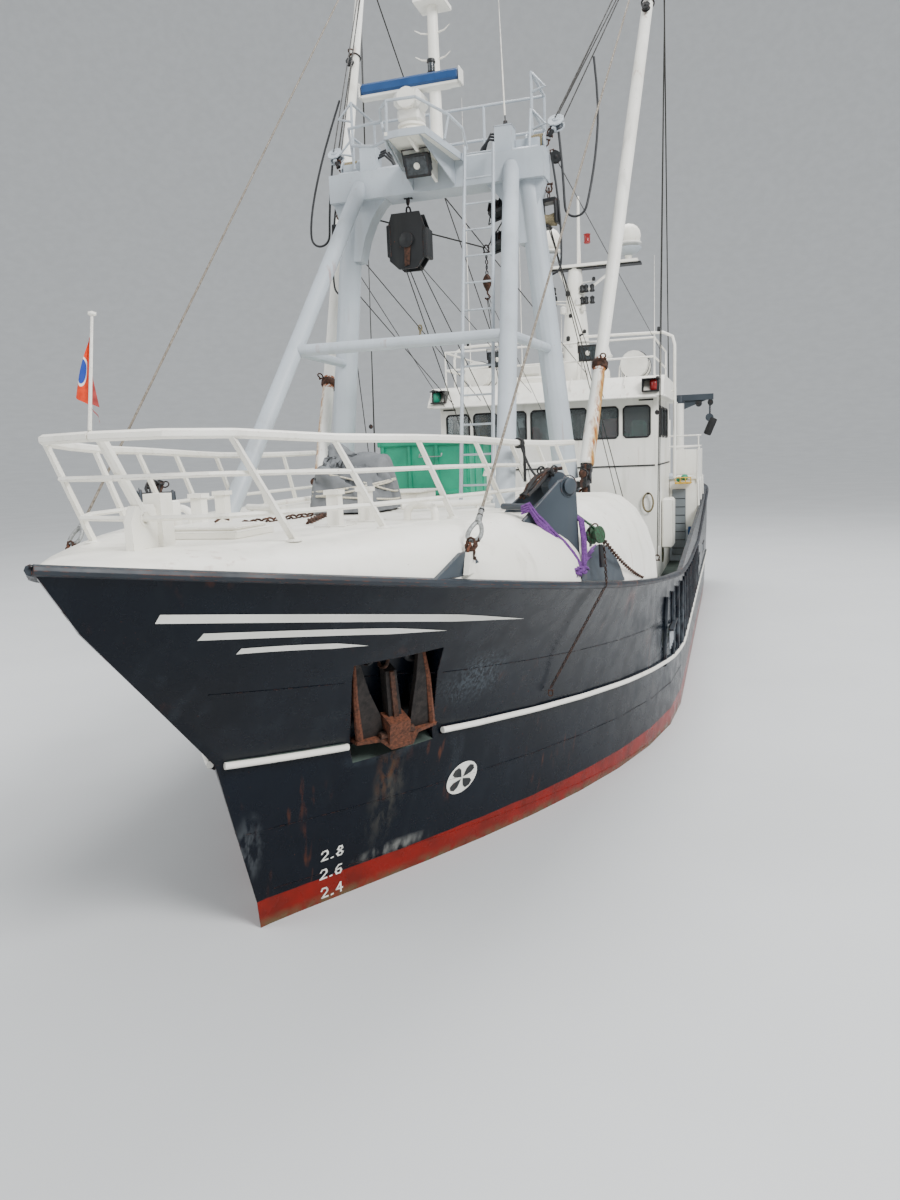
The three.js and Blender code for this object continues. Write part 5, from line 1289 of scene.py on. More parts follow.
standing += coat(ROPE, ring((1.1, -1.29, 6.15), (0.3, 1, 0), 0.09, 0.03, 12),
    tube([(1.1, -1.29, 6.1), (1.12, -1.3, 5.95), (1.1, -1.27, 5.86)], 0.02, 6))
piece("gantry_wires", "ship", standing)

along = lambda d, out=(0, 0, 0): heel + derrick_line * d + Vector(out)
lift_foot = Vector((3.66, 1.56, 8.14))
hinge = lambda x: Vector((x, 1.96 + (x - 3.93) * -0.00887, 3.7 + (x - 3.93) * -0.08096))
own = [(turned([(0, 0.1), (0.02, 0.112), (0.09, 0.112), (0.11, 0.1)], along(1.55), along(3), 24), RUST)]
own += [(local(bar((-0.05, -0.05, 0.09), (0.05, 0.05, 0.17), 0.012), along(1.6), derrick_line, (0, 1, 0)),
    RUST)]
own += shackle(along(1.66, (0.13, 0.05, 0.02)), (0.7, 0.2, 0.7), 0.09)
own += [(turned([(0, 0.086), (0.01, 0.096), (0.04, 0.099), (0.62, 0.097), (1.35, 0.086)], along(0.1),
    along(3), 26), DERRICK),
    (turned([(0, 0.06), (0.02, 0.075), (0.08, 0.075), (0.1, 0.06)], along(0.01), along(3), 20), DARK)]
own += [(local(bar((-0.1, s * 0.062 - 0.012, -0.055), (0.12, s * 0.062 + 0.012, 0.055), 0.008), along(0),
    derrick_line, (0, 1, 0)), DARK) for s in (-1, 1)]
own += coat(DARK, ball(along(-0.02, (0.02, 0, -0.02)), 0.075, (1, 1, 1.1)),
    bar((3.87, 1.9, 3.72), (3.99, 2.02, 3.8), 0.015))
own += [(turned([(0, 0.045), (0.03, 0.05), (0.05, 0.03), (0.05, 0)], heel + Vector((s * 0.22, 0, s * -0.018)),
    heel + Vector((s * 1, 0, s * -0.081)), 12), RUST) for s in (-1, 1)]
own += [wire(along(10.1, (0, 0.06, -0.06)), (0.36, 2.6, 2.12), 0.008),
    wire(along(10, (0.02, 0.07, -0.06)), (0.24, 2.62, 2.3), 0.007),
    wire(along(10.2, (-0.06, 0, -0.06)), hinge(-9.8), 0.013)]
own += shackle((0.36, 2.6, 2.06), (0, 0, 1), 0.09)
own += block((0.36, 2.6, 4.6), (0, 0, -1), 0.07, DARK)
own += block(along(10.02, (0, 0.12, -0.08)), (0, 0.1, -1), 0.17, DARK)
own += shackle(along(7.9, (0.11, 0, 0.02)), (0.8, 0, 0.4), 0.1)
own += block(along(7.8, (0.16, 0, 0)), (0.5, 0, -0.8), 0.13, DARK)
own += [(ring(along(7.9), derrick_line, 0.19, 0.03, 18), DARK)]
own += [(tube([lift_foot, by(lift_foot, 0.02, -0.06, -0.09)], 0.03, 8), DARK)]
rig = coat(DARK, turned([(0, 0.078), (0.01, 0.088), (0.12, 0.088), (0.13, 0.078)], along(10.14),
    along(12), 20), local(bar((-0.05, -0.018, -0.16), (0.05, 0.018, 0.16), 0.01), along(10.2), derrick_line,
    (0, 1, 0)))
to_head = (along(10.1) - lift_foot).normalized()
rig += block(lift_foot, to_head, 0.21, GREY, (1, -0.1, 0), SLATE)
rig += block(along(10.12, (-0.1, 0, -0.04)), -to_head, 0.19, DARK, (0, 1, 0))
rig += [wire(lift_foot + to_head * 0.12 + Vector(a), along(10.1 - up, b), 0.009)
    for a, up, b in (((0.07, 0, 0.05), 0.08, (-0.02, 0, 0)), ((0, -0.03, 0), 0, (-0.06, -0.03, 0)),
    ((-0.06, 0.02, -0.05), 0, (-0.14, 0.02, -0.04)), ((0.05, -0.08, -0.1), 0.5, (0.02, -0.02, 0)))]
guy_foot, guy_head = Vector((9.34, 1.912, 3.262)), along(10.2, (0.06, 0, 0.04))
up_guy = (guy_head - guy_foot).normalized()
aside = (Vector((0, 1, 0)) - up_guy * up_guy.y).normalized()
tear = [guy_foot + up_guy * (0.185 - 0.1 * math.cos(a))
    + aside * 0.05 * math.sin(a) * (1.05 - 0.38 * math.cos(a + math.pi)) for a in angles(24)]
rig += coat(GALVANISED, tube(tear, 0.019, 8, closed=True),
    tube([guy_foot + up_guy * 0.275, guy_foot + up_guy * 0.43], [0.03, 0.019], 10))
rig += coat(GUY, tube([guy_foot + up_guy * 0.42, guy_head], 0.0125, 8))
rig += [(tube([guy_foot + up_guy * d, guy_foot + up_guy * (d + 0.012)], 0.026, 10), DARK)
    for d in (0.34, 0.4)]
rig += shackle(guy_foot + up_guy * 0.1, -up_guy, 0.105, RUST, aside)
rig += shackle(guy_foot + up_guy * 0.03, -up_guy, 0.09, ORE, up_guy.cross(aside))
for side, tail in SIDES:
    made = piece("guy_and_topping_lift_" + tail, "derrick_" + tail, to_side(rig, side))
    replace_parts(made, "derrick_rigging_" + tail)
for side, tail in SIDES:
    piece("derrick_" + tail + "_fittings", "derrick_" + tail, to_side(own, side))


def cord(name, body, path, radius, finish):
    """A hose or slack rope, drawn as a tube on a smooth path."""
    path = [Vector(p) for p in path]
    for turn in range(3):
        middle = [(a + b) / 2 for a, b in zip(path, path[1:])]
        path = [path[0]] + [p.lerp(q, t) for p, q in zip(middle, middle[1:])
            for t in ((0, 0.5) if turn == 0 else (0.5,))] + [path[-1]]
    made = piece(name, body, [(tube(path, radius, 8), finish)])
    length = sum((b - a).length for a, b in zip(path, path[1:]))
    tuple(path[0])
    [tuple(p) for p in path]


cord("rail_cable", "ship", sag(by(knot, 0.02, 0.03, -0.03), bracket_point(0.42, 0.1, 3.78), 0.16, 14), 0.013,
    BLACK)
cord("rail_cable_tail", "ship", [by(knot, 0, 0.05, -0.03), by(knot, 0, 0.062, -0.14),
    by(knot, 0, 0.062, -0.26), by(knot, 0.01, 0.06, -0.4)], 0.016, BLACK)
u_bend = lambda x, y, z, reach: [(x, y - reach * math.cos(a), z - abs(reach) * math.sin(a))
    for a in (math.pi * k / 8 for k in range(9))]
for side, name in SIDES:
    turn = lambda points: [Vector((p[0], p[1] * side, p[2])) for p in points]
    cord("hose_loop_" + name, "derrick_" + name,
        turn([(3.64, 1.62, 8.1), (3.67, 1.66, 7.75), (3.7, 1.69, 7.4)] + u_bend(3.7, 1.84, 7.16, 0.15)
        + [(3.6, 2.03, 7.4), (3.38, 2.06, 7.8), (3.08, 2.06, 8.3), (2.78, 2.03, 8.85), (2.55, 1.93, 9.36)]),
        0.016, HOSE)
    cord("hose_drop_" + name, "ship",
        turn([(3.68, 1.52, 7.85), (3.71, 1.59, 7.45), (3.74, 1.65, 7), (3.75, 1.65, 6.7)]
        + u_bend(3.755, 1.5, 6.45, -0.15) + [(3.75, 1.35, 6.6), (3.74, 1.36, 6.8), (3.73, 1.46, 6.98)]),
        0.014, HOSE)

# %% [markdown]
# ## The wheelhouse
# The windows are toughened glass in black rubber, rounded at the corners. Clear glass with a
# true index shows the dark room behind and mirrors the sky, so a console, screens and
# chairs stand inside.

# %% Glass and rubber
GLASS = plain_finish("toughened_window_glass", "#c3cccc", "#b9c3c3", 0.02, size_mm=600, depth=0, soft=0.0005,
    Transmission_Weight=0.92, IOR=1.5)
WOOD = plain_finish("varnished_plywood", "#7b4d2c", "#5f3a20", 0.35, size_mm=90, depth=0.0006)
SEAT = plain_finish("dark_vinyl_seat", "#26282c", "#31343a", 0.5, size_mm=60)
SCREEN = plain_finish("unlit_display_glass", "#0e1418", "#182026", 0.12, size_mm=120)
ORANGE = plain_finish("orange_moulded_plastic", "#d8621c", "#b8501a", 0.4, size_mm=60)
YELLOW = plain_finish("yellow_oilskin", "#d9b23a", "#c4952b", 0.5, size_mm=50, depth=0.003)


def rounded_window(corner, u, w, width, height, depth, radius=0.075):
    """A pane and its rubber frame. The corner is the low one, u runs along the sill and w up."""
    u, w = Vector(u).normalized(), Vector(w).normalized()
    out = u.cross(w)
    outline = []
    for cx, cy, start in ((width - radius, height - radius, 0), (radius, height - radius, 90),
            (radius, radius, 180), (width - radius, radius, 270)):
        for k in range(5):
            a = math.radians(start + 22.5 * k)
            outline.append(Vector(corner) + u * (cx + radius * math.cos(a)) + w * (cy + radius * math.sin(a)))
    pane = plate([p - out * depth for p in outline], out * 0.008)
    rubber = tube([p - out * (depth * 0.25) for p in outline], 0.019, 6, closed=True)
    lining = []
    square = [Vector(corner) + u * x + w * y for x, y in ((width, height), (0, height), (0, 0), (width, 0))]
    for q in range(4):
        arc = outline[q * 5:q * 5 + 5]
        lining.append(plate([p - out * 0.03 for p in [square[q]] + arc], out * 0.034))
    return [(pane, GLASS), (rubber, BLACK)] + coat(WHITE, *lining)


def front_x(y):
    """The wheelhouse front is bowed: its middle stands ahead of its corners."""
    return -3 + 0.18 * (1 - (y / 2.33) ** 2)


SILL, PANE_HIGH, ROOF = 4.2, 0.63, 5.42
windows = []
for i in range(7):
    y = (i - 3) * 0.64
    a, b = Vector((front_x(y + 0.265), y + 0.265, SILL)), Vector((front_x(y - 0.265), y - 0.265, SILL))
    across = a - b
    windows += rounded_window(b + Vector((0.012, 0, 0)), across, (0, 0, 1), across.length, PANE_HIGH, 0.03)
for x0, x1 in ((-3.9, -3.3), (-4.8, -4.05), (-5.7, -4.95)):
    windows += rounded_window((x1, 2.335, SILL), (-1, 0, 0), (0, 0, 1), x1 - x0, PANE_HIGH, 0.03)
    windows += rounded_window((x0, -2.335, SILL), (1, 0, 0), (0, 0, 1), x1 - x0, PANE_HIGH, 0.03)
for y0, y1 in ((-1.7, -0.9), (-0.7, 0)):
    windows += rounded_window((-6.305, y1, SILL), (0, -1, 0), (0, 0, 1), y1 - y0, PANE_HIGH, 0.03)
piece("wheelhouse_windows", "ship", windows, smooth=30)

LINER = plain_finish("dark_panel_liner", "#2b2723", "#1f1c19", 0.6, size_mm=300)
inside = coat(LINER, bar((-6.22, -2.25, 3.33), (-3, 2.25, 3.345), 0.002),
    bar((-6.22, -2.25, 4.93), (-2.95, 2.25, 4.96), 0.002))
inside += [(bar((-6.24, -2.25, z0), (-6.21, 2.25, z1), 0.002), LINER)
    for z0, z1 in ((3.34, 4.17), (4.86, 4.94))]
inside += [(bar((-6.24, y0, 4.15), (-6.21, y1, 4.88), 0.002), LINER)
    for y0, y1 in ((-2.25, -1.72), (-0.88, -0.72), (0.02, 0.22), (0.93, 2.25))]
inside += [(bar((-6.22, s * 2.25 - 0.01, z0), (-3.1, s * 2.25 + 0.01, z1), 0.002), LINER) for s in (-1, 1)
    for z0, z1 in ((3.34, 4.17), (4.86, 4.94))]
inside += [(bar((-3.9, -1.9, 3.34), (-3.42, 1.9, 3.96), 0.03), WOOD),
    (bar((-3.95, -1.95, 3.96), (-3.36, 1.95, 4), 0.01), BLACK)]
for k, y in enumerate((-1.5, -0.95, -0.4, 0.35, 0.9, 1.45)):
    inside.append((local(bar((-0.05, -0.2, 0), (0.05, 0.2, 0.32), 0.02), (-3.62, y, 4), (-1, 0, 0.25)),
        BLACK))
    inside.append((local(bar((0.052, -0.17, 0.04), (0.058, 0.17, 0.28), 0.003), (-3.62, y, 4), (-1, 0, 0.25)),
        SCREEN))
for y in (-0.75, 0.75):
    inside += coat(SEAT, bar((-4.8, y - 0.27, 3.72), (-4.28, y + 0.27, 3.86), 0.05),
        bar((-4.86, y - 0.26, 3.86), (-4.72, y + 0.26, 4.55), 0.06),
        bar((-4.84, y - 0.14, 4.55), (-4.74, y + 0.14, 4.74), 0.04))
    inside += coat(DARK, upright([(0, 0.2), (0.03, 0.2), (0.05, 0.06), (0.4, 0.06)], (-4.54, y, 3.33), 14))
PINK = plain_finish("faded_red_fabric", "#b0443f", "#8a3431", 0.8, size_mm=70)
inside += [(bar((-3.75, 1.12, 4), (-3.5, 1.48, 4.62), 0.05), PINK),
    (bar((-3.7, 1.72, 4), (-3.5, 2.05, 4.56), 0.08), GREEN), (ball((-3.55, -0.35, 4.3), 0.16, (0.6, 1, 1.4)),
    PINK), (bar((-4.2, -1.35, 3.9), (-4, -1, 4.5), 0.05), ORANGE)]
inside += [(bar((-3.75, 1.55, 4), (-3.55, 1.7, 4.3), 0.03), GREEN),
    (bar((-3.7, -1.85, 4), (-3.5, -1.6, 4.3), 0.02), RED_GLASS),
    (bar((-6.1, -1.8, 3.34), (-5.7, -0.2, 4.1), 0.02), WOOD),
    (bar((-3.3, 0.6, 4.72), (-3.2, 1.1, 4.95), 0.02), BLACK), (bar((-3.8, 0, 4), (-3.6, 0.22, 4.22), 0.02),
    GELCOAT), (bar((-3.3, -1.2, 4.75), (-3.2, -0.8, 4.95), 0.02), BLACK)]
for y in (-2, 2):
    inside.append((plate([(-5.6, y, 4.25), (-5, y, 4.25), (-5, y, 4.85), (-5.6, y, 4.85)], (0, 0.01, 0)),
        YELLOW))
piece("wheelhouse_inside", "ship", inside)

# %% [markdown]
# ## The roof and the aft mast
# Side lamps sit in dark boxes on the roof's corners, and a gutter and grab rails run round it.
# Aft of it the tapered mast carries two satellite domes among lamps, horns and aerials.

# %% Roof gear, lamps and gutters
house = []
for y0 in [-2.28 + 0.19 * k for k in range(24)]:
    house.append((tube([(front_x(y) + 0.012, y, 3.62) for y in (y0, y0 + 0.19)], 0.016, 6), BLACK))
for s in (-1, 1):
    house.append((side_bar(s, (-6.3, 2.33, 3.605), (-3, 2.345, 3.635), 0.004), BLACK))
    house += [(tube([(-6.2, s * 2.46, 5.33), (-3, s * 2.46, 5.2)], 0.02, 6), WHITE)]
house += [(tube([(-2.74, -2.49, 5), (-2.56, -2.3, 4.99), (-2.54, 0, 4.985), (-2.56, 2.3, 4.99),
    (-2.74, 2.49, 5), (-3.2, 2.5, 5), (-6.45, 2.5, 5)], 0.022, 8), WHITE)]
house += [(tube([(-2.7, y, 5.19), (-2.66, y, 5.24), (-2.8, y, 5.35), (-2.92, y, 5.45)], 0.012, 6), WHITE)
    for y in (-1.6, -0.5, 0.6, 1.7)]
for s, glass in ((1, RED_GLASS), (-1, GREEN)):
    house += [(side_bar(s, (-3.05, y0, z0), (x1, y1, z1)), DARK)
        for y0, y1, z0, z1, x1 in ((2.06, 2.4, 5.09, 5.33, -3), (2.06, 2.09, 5.09, 5.33, -2.52),
        (2.06, 2.4, 5.32, 5.345, -2.52), (2.06, 2.4, 5.08, 5.105, -2.52))]
    house += coat(DARK, bar((-3.1, s * 2.36 - 0.03, 5.1), (-2.62, s * 2.36 + 0.03, 5.38), 0.01),
        bar((-3.1, s * 2.2 - 0.16, 5.1), (-3.05, s * 2.36, 5.38), 0.01))
    house += coat(glass, upright([(0, 0.07), (0.02, 0.085), (0.18, 0.085), (0.2, 0.07), (0.23, 0)],
        (-2.68, s * 2.29, 5.11), 16))
house += [(upright([(0, 0.09), (0.03, 0.09), (0.04, 0.075), (0.12, 0.075), (0.15, 0.05), (0.16, 0)],
    (-2.95, 0.3, ROOF), 18), ORANGE)]
for y, x in ((-1.03, -3.1), (0.92, -3.1)):
    house += floodlight((x, y, 5.97), (1, -0.1 * y, -0.2), 0.36)
    house += [(upright([(0, 0.06), (0.02, 0.06), (0.03, 0.03), (0.32, 0.03)], (x, y, ROOF), 12), WHITE)]
house += [(bar((-4.6, -0.75, ROOF), (-3.7, -0.15, 5.62), 0.05), WHITE),
    (bar((-4.5, -0.68, 5.62), (-3.8, -0.22, 5.9), 0.06), GELCOAT),
    (upright([(0, 0.12), (0.05, 0.14), (0.35, 0.13), (0.42, 0.09), (0.44, 0)], (-5.6, 0.9, ROOF)), WHITE),
    (upright([(0, 0.22), (0.05, 0.24), (0.1, 0.2), (0.3, 0.14), (0.38, 0.05), (0.39, 0)], (-5.9, 0.82, 6.1)),
    GELCOAT), (upright([(0, 0.05), (0.8, 0.05)], (-5.9, 0.82, ROOF), 12), WHITE),
    (bar((-6.3, -2, ROOF), (-5.5, -1.2, 5.8), 0.04), WHITE)]
frame_line = [(-4.9, 2.55, 3.28), (-4.9, 2.55, 6.2), (-4.9, 2.5, 6.38), (-4.9, 2.3, 6.48), (-4.95, 0.5, 6.52),
    (-4.95, 0.4, 6.45), (-4.95, 0.4, 5.43)]
for s in (1, -1):
    line = [Vector((x, y * s, z)) for x, y, z in frame_line]
    house += coat(WHITE, tube(line, 0.032, 10),
        tube([line[1] - Vector((0, 0, 1)), line[1] - Vector((0, s * 0.22, 1))], 0.02, 6))
    house += [(upright([(0, 0.03), (0.06, 0.034), (0.1, 0.03), (0.12, 0)], (-4.9, s * 2.2, 6.5), 10), DARK)]
for x, y, top in ((-5, -2.18, 12), (-6.2, 2, 8.4), (-6.2, -1.2, 8.9), (-4, 0.2, 6.9)):
    house += [(upright([(0, 0.03), (0.25, 0.026), (0.27, 0.012), (top - 5.45, 0.004)], (x, y, 5.43), 8),
        WHITE)]
for y in (-2.05, 2.05):
    for x in (-4.95, -4.5, -4.05):
        house.append((tube([(x, y - 0.3 * math.copysign(1, y) - 0.32, 5.45),
            (x, y - 0.3 * math.copysign(1, y) - 0.3, 5.75)], 0.015, 6), WHITE))
piece("wheelhouse_fittings", "ship", house)

MAST_X = -7.05
aft = []
for y, x, z in ((0.31, -7.05, 8.98), (-0.48, -7, 8.98)):
    aft += [(upright([(0, 0.03), (0, 0.03), (0.1, 0.026)], (x, y, z - 0.4), 8), DARK),
        (upright([(0, 0.06), (0.03, 0.085), (0.05, 0.075), (0.2, 0.075), (0.22, 0.09), (0.25, 0)],
        (x, y, z), 14), RED_GLASS)]
for y in (-0.5, 0.3, 0.45, 0.2):
    for z in (7.62, 7.9):
        aft.append((upright([(0, 0.05), (0.02, 0.07), (0.07, 0.045), (0.16, 0.06), (0.2, 0)],
            (-6.85, y, z - 0.1), 12), DARK))
    aft.append((tube([(-6.95, y * 0.4, 7.55), (-6.88, y, 7.6)], 0.02, 6), WHITE))
for y in (-0.65, 1.31):
    aft += [(upright([(0, 0.1), (0.04, 0.2), (0.14, 0.31), (0.17, 0.32), (0.18, 0.3)], (MAST_X, y, 8.6), 24),
        GREY), (upright([(0, 0.28), (0.02, 0.312), (0.05, 0.312), (0.06, 0.3)], (MAST_X, y, 8.84), 26),
        GELCOAT)]
aft += [(tube([(MAST_X, s * 0.12, 7.75), (MAST_X, 0.35 + s * 0.75, 8.42)], 0.035, 8), WHITE) for s in (-1, 1)]
aft += [(upright([(0, 0.4), (1.6, 0.3), (3, 0.16), (3.05, 0.1)], (MAST_X, 0, 5.4), 28), WHITE)]
random.seed(23)
for k in range(14):
    spot = Vector((-6.75 - random.uniform(0, 0.1), random.uniform(-0.55, 0.55), random.uniform(6, 8.3)))
    size = random.uniform(0.05, 0.12)
    aft += [(turned([(0, size * 0.6), (0.02, size * 0.8), (size * 1.4, size * 0.7), (size * 1.7, size * 0.3),
        (size * 1.75, 0)], spot, by(spot, 0.2, 0, 1), 12), (DARK, BLACK, GELCOAT)[k % 3]),
        (tube([spot, Vector((MAST_X, 0, spot.z))], 0.014, 6), WHITE)]
aft += [(bar((-7.2, -1, 8.38), (-6.9, 1.62, 8.43), 0.01), DARK)]
aft += [(ring((MAST_X, 0, 6.4 + 0.32 * k), (0, 0, 1), 0.5, 0.02, 16), WHITE) for k in range(4)]
piece("aft_mast_gear", "ship", aft)

# %% [markdown]
# ## The derricks' feet, the bin and the pennant
# Dark forks carry the derricks' pins. The plastic bin is ribbed and has a thick rim. The pennant
# is a small cloth flag that hangs in folds on its staff, with a ribbon of the one before it.

# %% Derrick feet, bin and pennant
own = [(bar((3.875, 1.905, 3.36), (3.985, 2.015, 3.53), 0.02), DARK),
    (bar((3.84, 1.93, 3.38), (4.02, 1.99, 3.5), 0.015), RUST),
    (ring((3.93, 1.9, 3.4), (0.3, 1, 0), 0.13, 0.03), ORE),
    (tube([(3.93, 1.9, 3.34), (3.95, 1.93, 3.22), (3.94, 1.96, 3.12)], [0.02, 0.03, 0.01], 6), GREENISH)]
piece("derrick_feet", "ship", both_sides(own))
bin_parts = [(bar((2.81, y - 0.035, 4.13), (4.19, y + 0.035, 4.215), 0.015), GREEN) for y in (-0.9, 0.38)]
bin_parts += [(bar((x - 0.035, -0.93, 4.13), (x + 0.035, 0.41, 4.215), 0.015), GREEN) for x in (2.85, 4.15)]
bin_parts += [(bar((4.14, y - 0.025, 3.47), (4.175, y + 0.025, 4.14), 0.01), GREEN)
    for y in (-0.86, -0.47, -0.07, 0.33)]
bin_parts += [(bar((x - 0.025, s - 0.012, 3.47), (x + 0.025, s + 0.012, 4.14), 0.01), GREEN)
    for s in (-0.905, 0.385) for x in (2.95, 3.4, 3.8, 4.1)]
bin_parts += [(bar((4.13, -0.9, 3.45), (4.18, 0.38, 3.52), 0.015), GREEN),
    (tube([(4.19, -0.3, 4.02), (4.22, -0.3, 3.98), (4.22, 0.02, 3.98), (4.19, 0.02, 4.02)], 0.012, 6),
    GALVANISED)]
piece("bin_rim_and_ribs", "ship", bin_parts)

PENNANT = plain_finish("dyed_pennant_cloth", "#e2400f", "#c8330b", 0.8, size_mm=40, depth=0.001)
tree, shader, place, dyed = reopened(PENNANT)
far = distance(tree, place, (11.13, -0.068, 4.62), (1, 0.034, 0.105))
for tone, edge in (("#e6e2dc", 1), ("#22409b", 0.84)):
    dyed = cover(tree, dyed, paint(tone), remap(tree, far, edge, edge - 0.03))
tree.links.new(dyed, shader.inputs["Base Color"])
staff = lambda z: Vector((11.24 - 0.179 * (z - 4.234), 0, z))
flag = []
for i in range(25):
    u = i / 24
    flag.append([staff(4.82 - 0.42 * u + 0.05 * u * k / 10)
        + Vector((0.016 * math.sin(0.6 * k + 4 * u) * k / 10, -0.014 - 0.104 * u * k / 10, 0))
        for k in range(11)])
tail = [[staff(4.58 - 0.18 * i / 8)
    + Vector((-0.01 * i * k / 16, 0.014 + 0.038 * i / 8 * k / 4, -0.02 * k / 4)) for k in range(5)]
    for i in range(9)]
ribbon = [[staff(4.38 - 0.1 * i / 8) + Vector((0.01 * math.sin(i), 0.014 + 0.07 * i / 8, 0.009 * k))
    for k in range(2)] for i in range(9)]
pennant_cloth = piece("pennant_cloth", "ship", coat(PENNANT, grid(flag))
    + coat(PINK, grid(tail), grid(ribbon)), smooth=80)
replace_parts(pennant_cloth, "pennant")

# %% [markdown]
# ## The side decks aft
# Aft of the wheelhouse the boat deck runs out over the side decks on pillars, behind a low
# dodger. Under it a bulkhead with a slatted door shuts off each side deck; the slats show through
# black strips of painted shade in their gaps. The bulwark is stayed by brackets and its freeing
# ports are barred.

# %% Side decks and boat deck
DOOR_GREY = painted_steel("mid_grey_door_paint", "#7c8387", "#6d7377", rust=0.4, runs=0.4)
POST_X, POST_Y = -9.8, 2.08     # the post that a derrick's aft stay ends on
RAFT_Y = 1.75
side_deck = []
for side in (1, -1):
    box = partial(side_bar, side)
    pipe = lambda path, radius, sides=8: tube([(x, side * y, z) for x, y, z in path], radius, sides)
    own = [(box((-9.1, 2.44, 3.19), (-6.33, 2.98, 3.25)), WHITE),
        (box((-9.1, 2.96, 3.1), (-6.33, 3, 3.9), 0.012), WHITE),
        (box((-6.37, 2.47, 3.3), (-6.33, 2.99, 3.9), 0.012), WHITE),
        (box((-6.42, 2.34, 1.21), (-6.38, 3.04, 1.98)), GREY), (box((-6.42, 2.34, 1.97), (-6.38, 2.98, 3.2)),
        WHITE), (box((-6.375, 2.4, 1.36), (-6.345, 2.72, 2.96), 0.01), DOOR_GREY),
        (box((-4.6, 2.345, 1.8), (-3.9, 2.57, 2.87), 0.03), WHITE),
        (box((-4.58, 2.57, 1.84), (-3.92, 2.585, 2.83), 0.006), WHITE),
        (box((-6.36, 2.78, 1.85), (-6.3, 2.86, 2.05), 0.01), BLUE),
        (box((-6.34, 2.48, 3.09), (-6.02, 2.86, 3.13), 0.01), YELLOW)]
    # Black strips across the door panel: painted shade in the gaps between its slats.
    own += [(box((-6.345, 2.41, 1.52 + 0.2 * k), (-6.335, 2.71, 1.535 + 0.2 * k), 0.002), BLACK)
        for k in range(7)]
    own += [(pipe([(-6.02, y, 3.13), (-6.02, y, 3.24)], 0.012), YELLOW) for y in (2.49, 2.61, 2.73, 2.85)]
    own += [(pipe([(-6.02, 2.48, 3.24), (-6.02, 2.86, 3.24)], 0.014), YELLOW)]
    own += coat(GREEN, ball((-6.18, side * 2.7, 3.24), 0.085, (1, 1, 0.9)),
        ball((-6.12, side * 2.57, 3.2), 0.06))
    own += [(pipe([(x, 3.02, rail_line(x).z - 0.05), (x, 3, 3.2)], 0.03), WHITE)
        for x in (-6.45, -7.75, -9.05)]
    own += coat(WHITE, pipe([(-6.35, 2.5, 3.95), (-6.35, 2.97, 3.97), (-9.08, 2.97, 3.97),
        (-9.08, 0.75, 3.97)], 0.024), pipe([(-9.08, 2.97, 4.25), (-9.08, 0.75, 4.25)], 0.018))
    own += [(pipe([(x, y, 3.25), (x, y, 4.25 if x < -9 else 3.97)], 0.02), WHITE)
        for x, y in ((-9.08, 2.9), (-9.08, 1.8), (-9.08, 0.75), (-7.7, 2.97))]
    for k in range(15):
        x = 3.4 - 0.95 * k
        if min(abs(x - port) for port in (-7.8, -5, 0.8, 3.3)) > 0.3:
            own.append((plate([(x, side * 3.06, 1.21), (x, side * 2.84, 1.21), (x, side * 3.02, 1.86),
                (x, side * 3.06, 1.86)], (0.014, 0, 0)), GREY))
    for port in (-8.2, -5.4, 0.4, 2.9):
        own += [(pipe([(port + 0.2 * k, 3.05, 1.25), (port + 0.2 * k, 3.05, 1.51)], 0.013, 6), GREY)
            for k in range(5)]
        own.append((box((port - 0.03, 3.04, 1.5), (port + 0.83, 3.1, 1.53), 0.004), WORN))
    own += [(upright([(0, 0.1), (0.32, 0.1), (0.33, 0.17), (0.4, 0.17), (0.45, 0.08), (0.46, 0)],
        (-8.45, side * 1.5, 3.26), 18), WHITE)]
    own += coat(WHITE, pipe([(POST_X, POST_Y, 1.2), (POST_X, POST_Y, 4.7)], 0.045, 12),
        pipe([(POST_X, POST_Y, 3.22), (-9.1, 2.08, 3.22)], 0.03),
        pipe([(POST_X, POST_Y, 2.5), (-9.12, 2.08, 3.17)], 0.022))
    own += coat(GALVANISED, ring((POST_X, side * POST_Y, 4.75), (0, 1, 0), 0.1, 0.03, 14))
    for x in (-4.3, -5.6, -8.5):
        ring_at = (x, side * 2.335, 2.35 if x < -5 else 1.62)
        own += [(ring(ring_at, (0, 1, 0), 0.34, 0.03, 24), BRONZE),
            (turned([(0, 0.15), (0.005, 0.15), (0.006, 0)], ring_at, (x, side * 3, ring_at[2]), 20), SCREEN)]
    own += [(ring((x, side * RAFT_Y, 5.76), (1, 0, 0), 0.606, 0.016, 28), BLACK) for x in (-4.74, -4.26)]
    own += [(bar((x - 0.04, side * RAFT_Y - 0.26, 5.42), (x + 0.04, side * RAFT_Y + 0.26, 5.5), 0.01),
        GALVANISED) for x in (-4.8, -4.2)]
    side_deck += own
side_deck.append((tube([(-2.98, 2.15, 3.03), (-2.87, 2.15, 3.03), (-2.85, 2.15, 3.07)], 0.012, 6), DARK))
for k in range(6):
    side_deck += [(bar((-8.5, s * 0.605 - 0.006, 3.55 + 0.12 * k), (-7.9, s * 0.605 + 0.006, 3.6 + 0.12 * k),
        0.003), DARK) for s in (-1, 1)]
side_deck += [(upright([(0, 0.05), (0.01, 0.125), (0.1, 0.13), (0.11, 0.1), (0.02, 0.09)], (x, y, 5.42), 20),
    BLACK) for x, y in ((-8.2, -0.3), (-8.2, 0.3))]
piece("side_deck_and_boat_deck", "ship", side_deck)
coil = [Vector((-2.9, 2.15 + 0.11 * math.sin(a) * (1 + 0.12 * math.sin(a * 0.31)), 2.86
    + 0.2 * math.cos(a) - 0.012 * math.sin(a * 0.23))) + Vector((0.006 * a / 6.28, 0, 0))
    for a in (2 * math.pi * k / 16 for k in range(65))]
cord("line_coil_on_hook", "ship", coil, 0.01, ROPE)

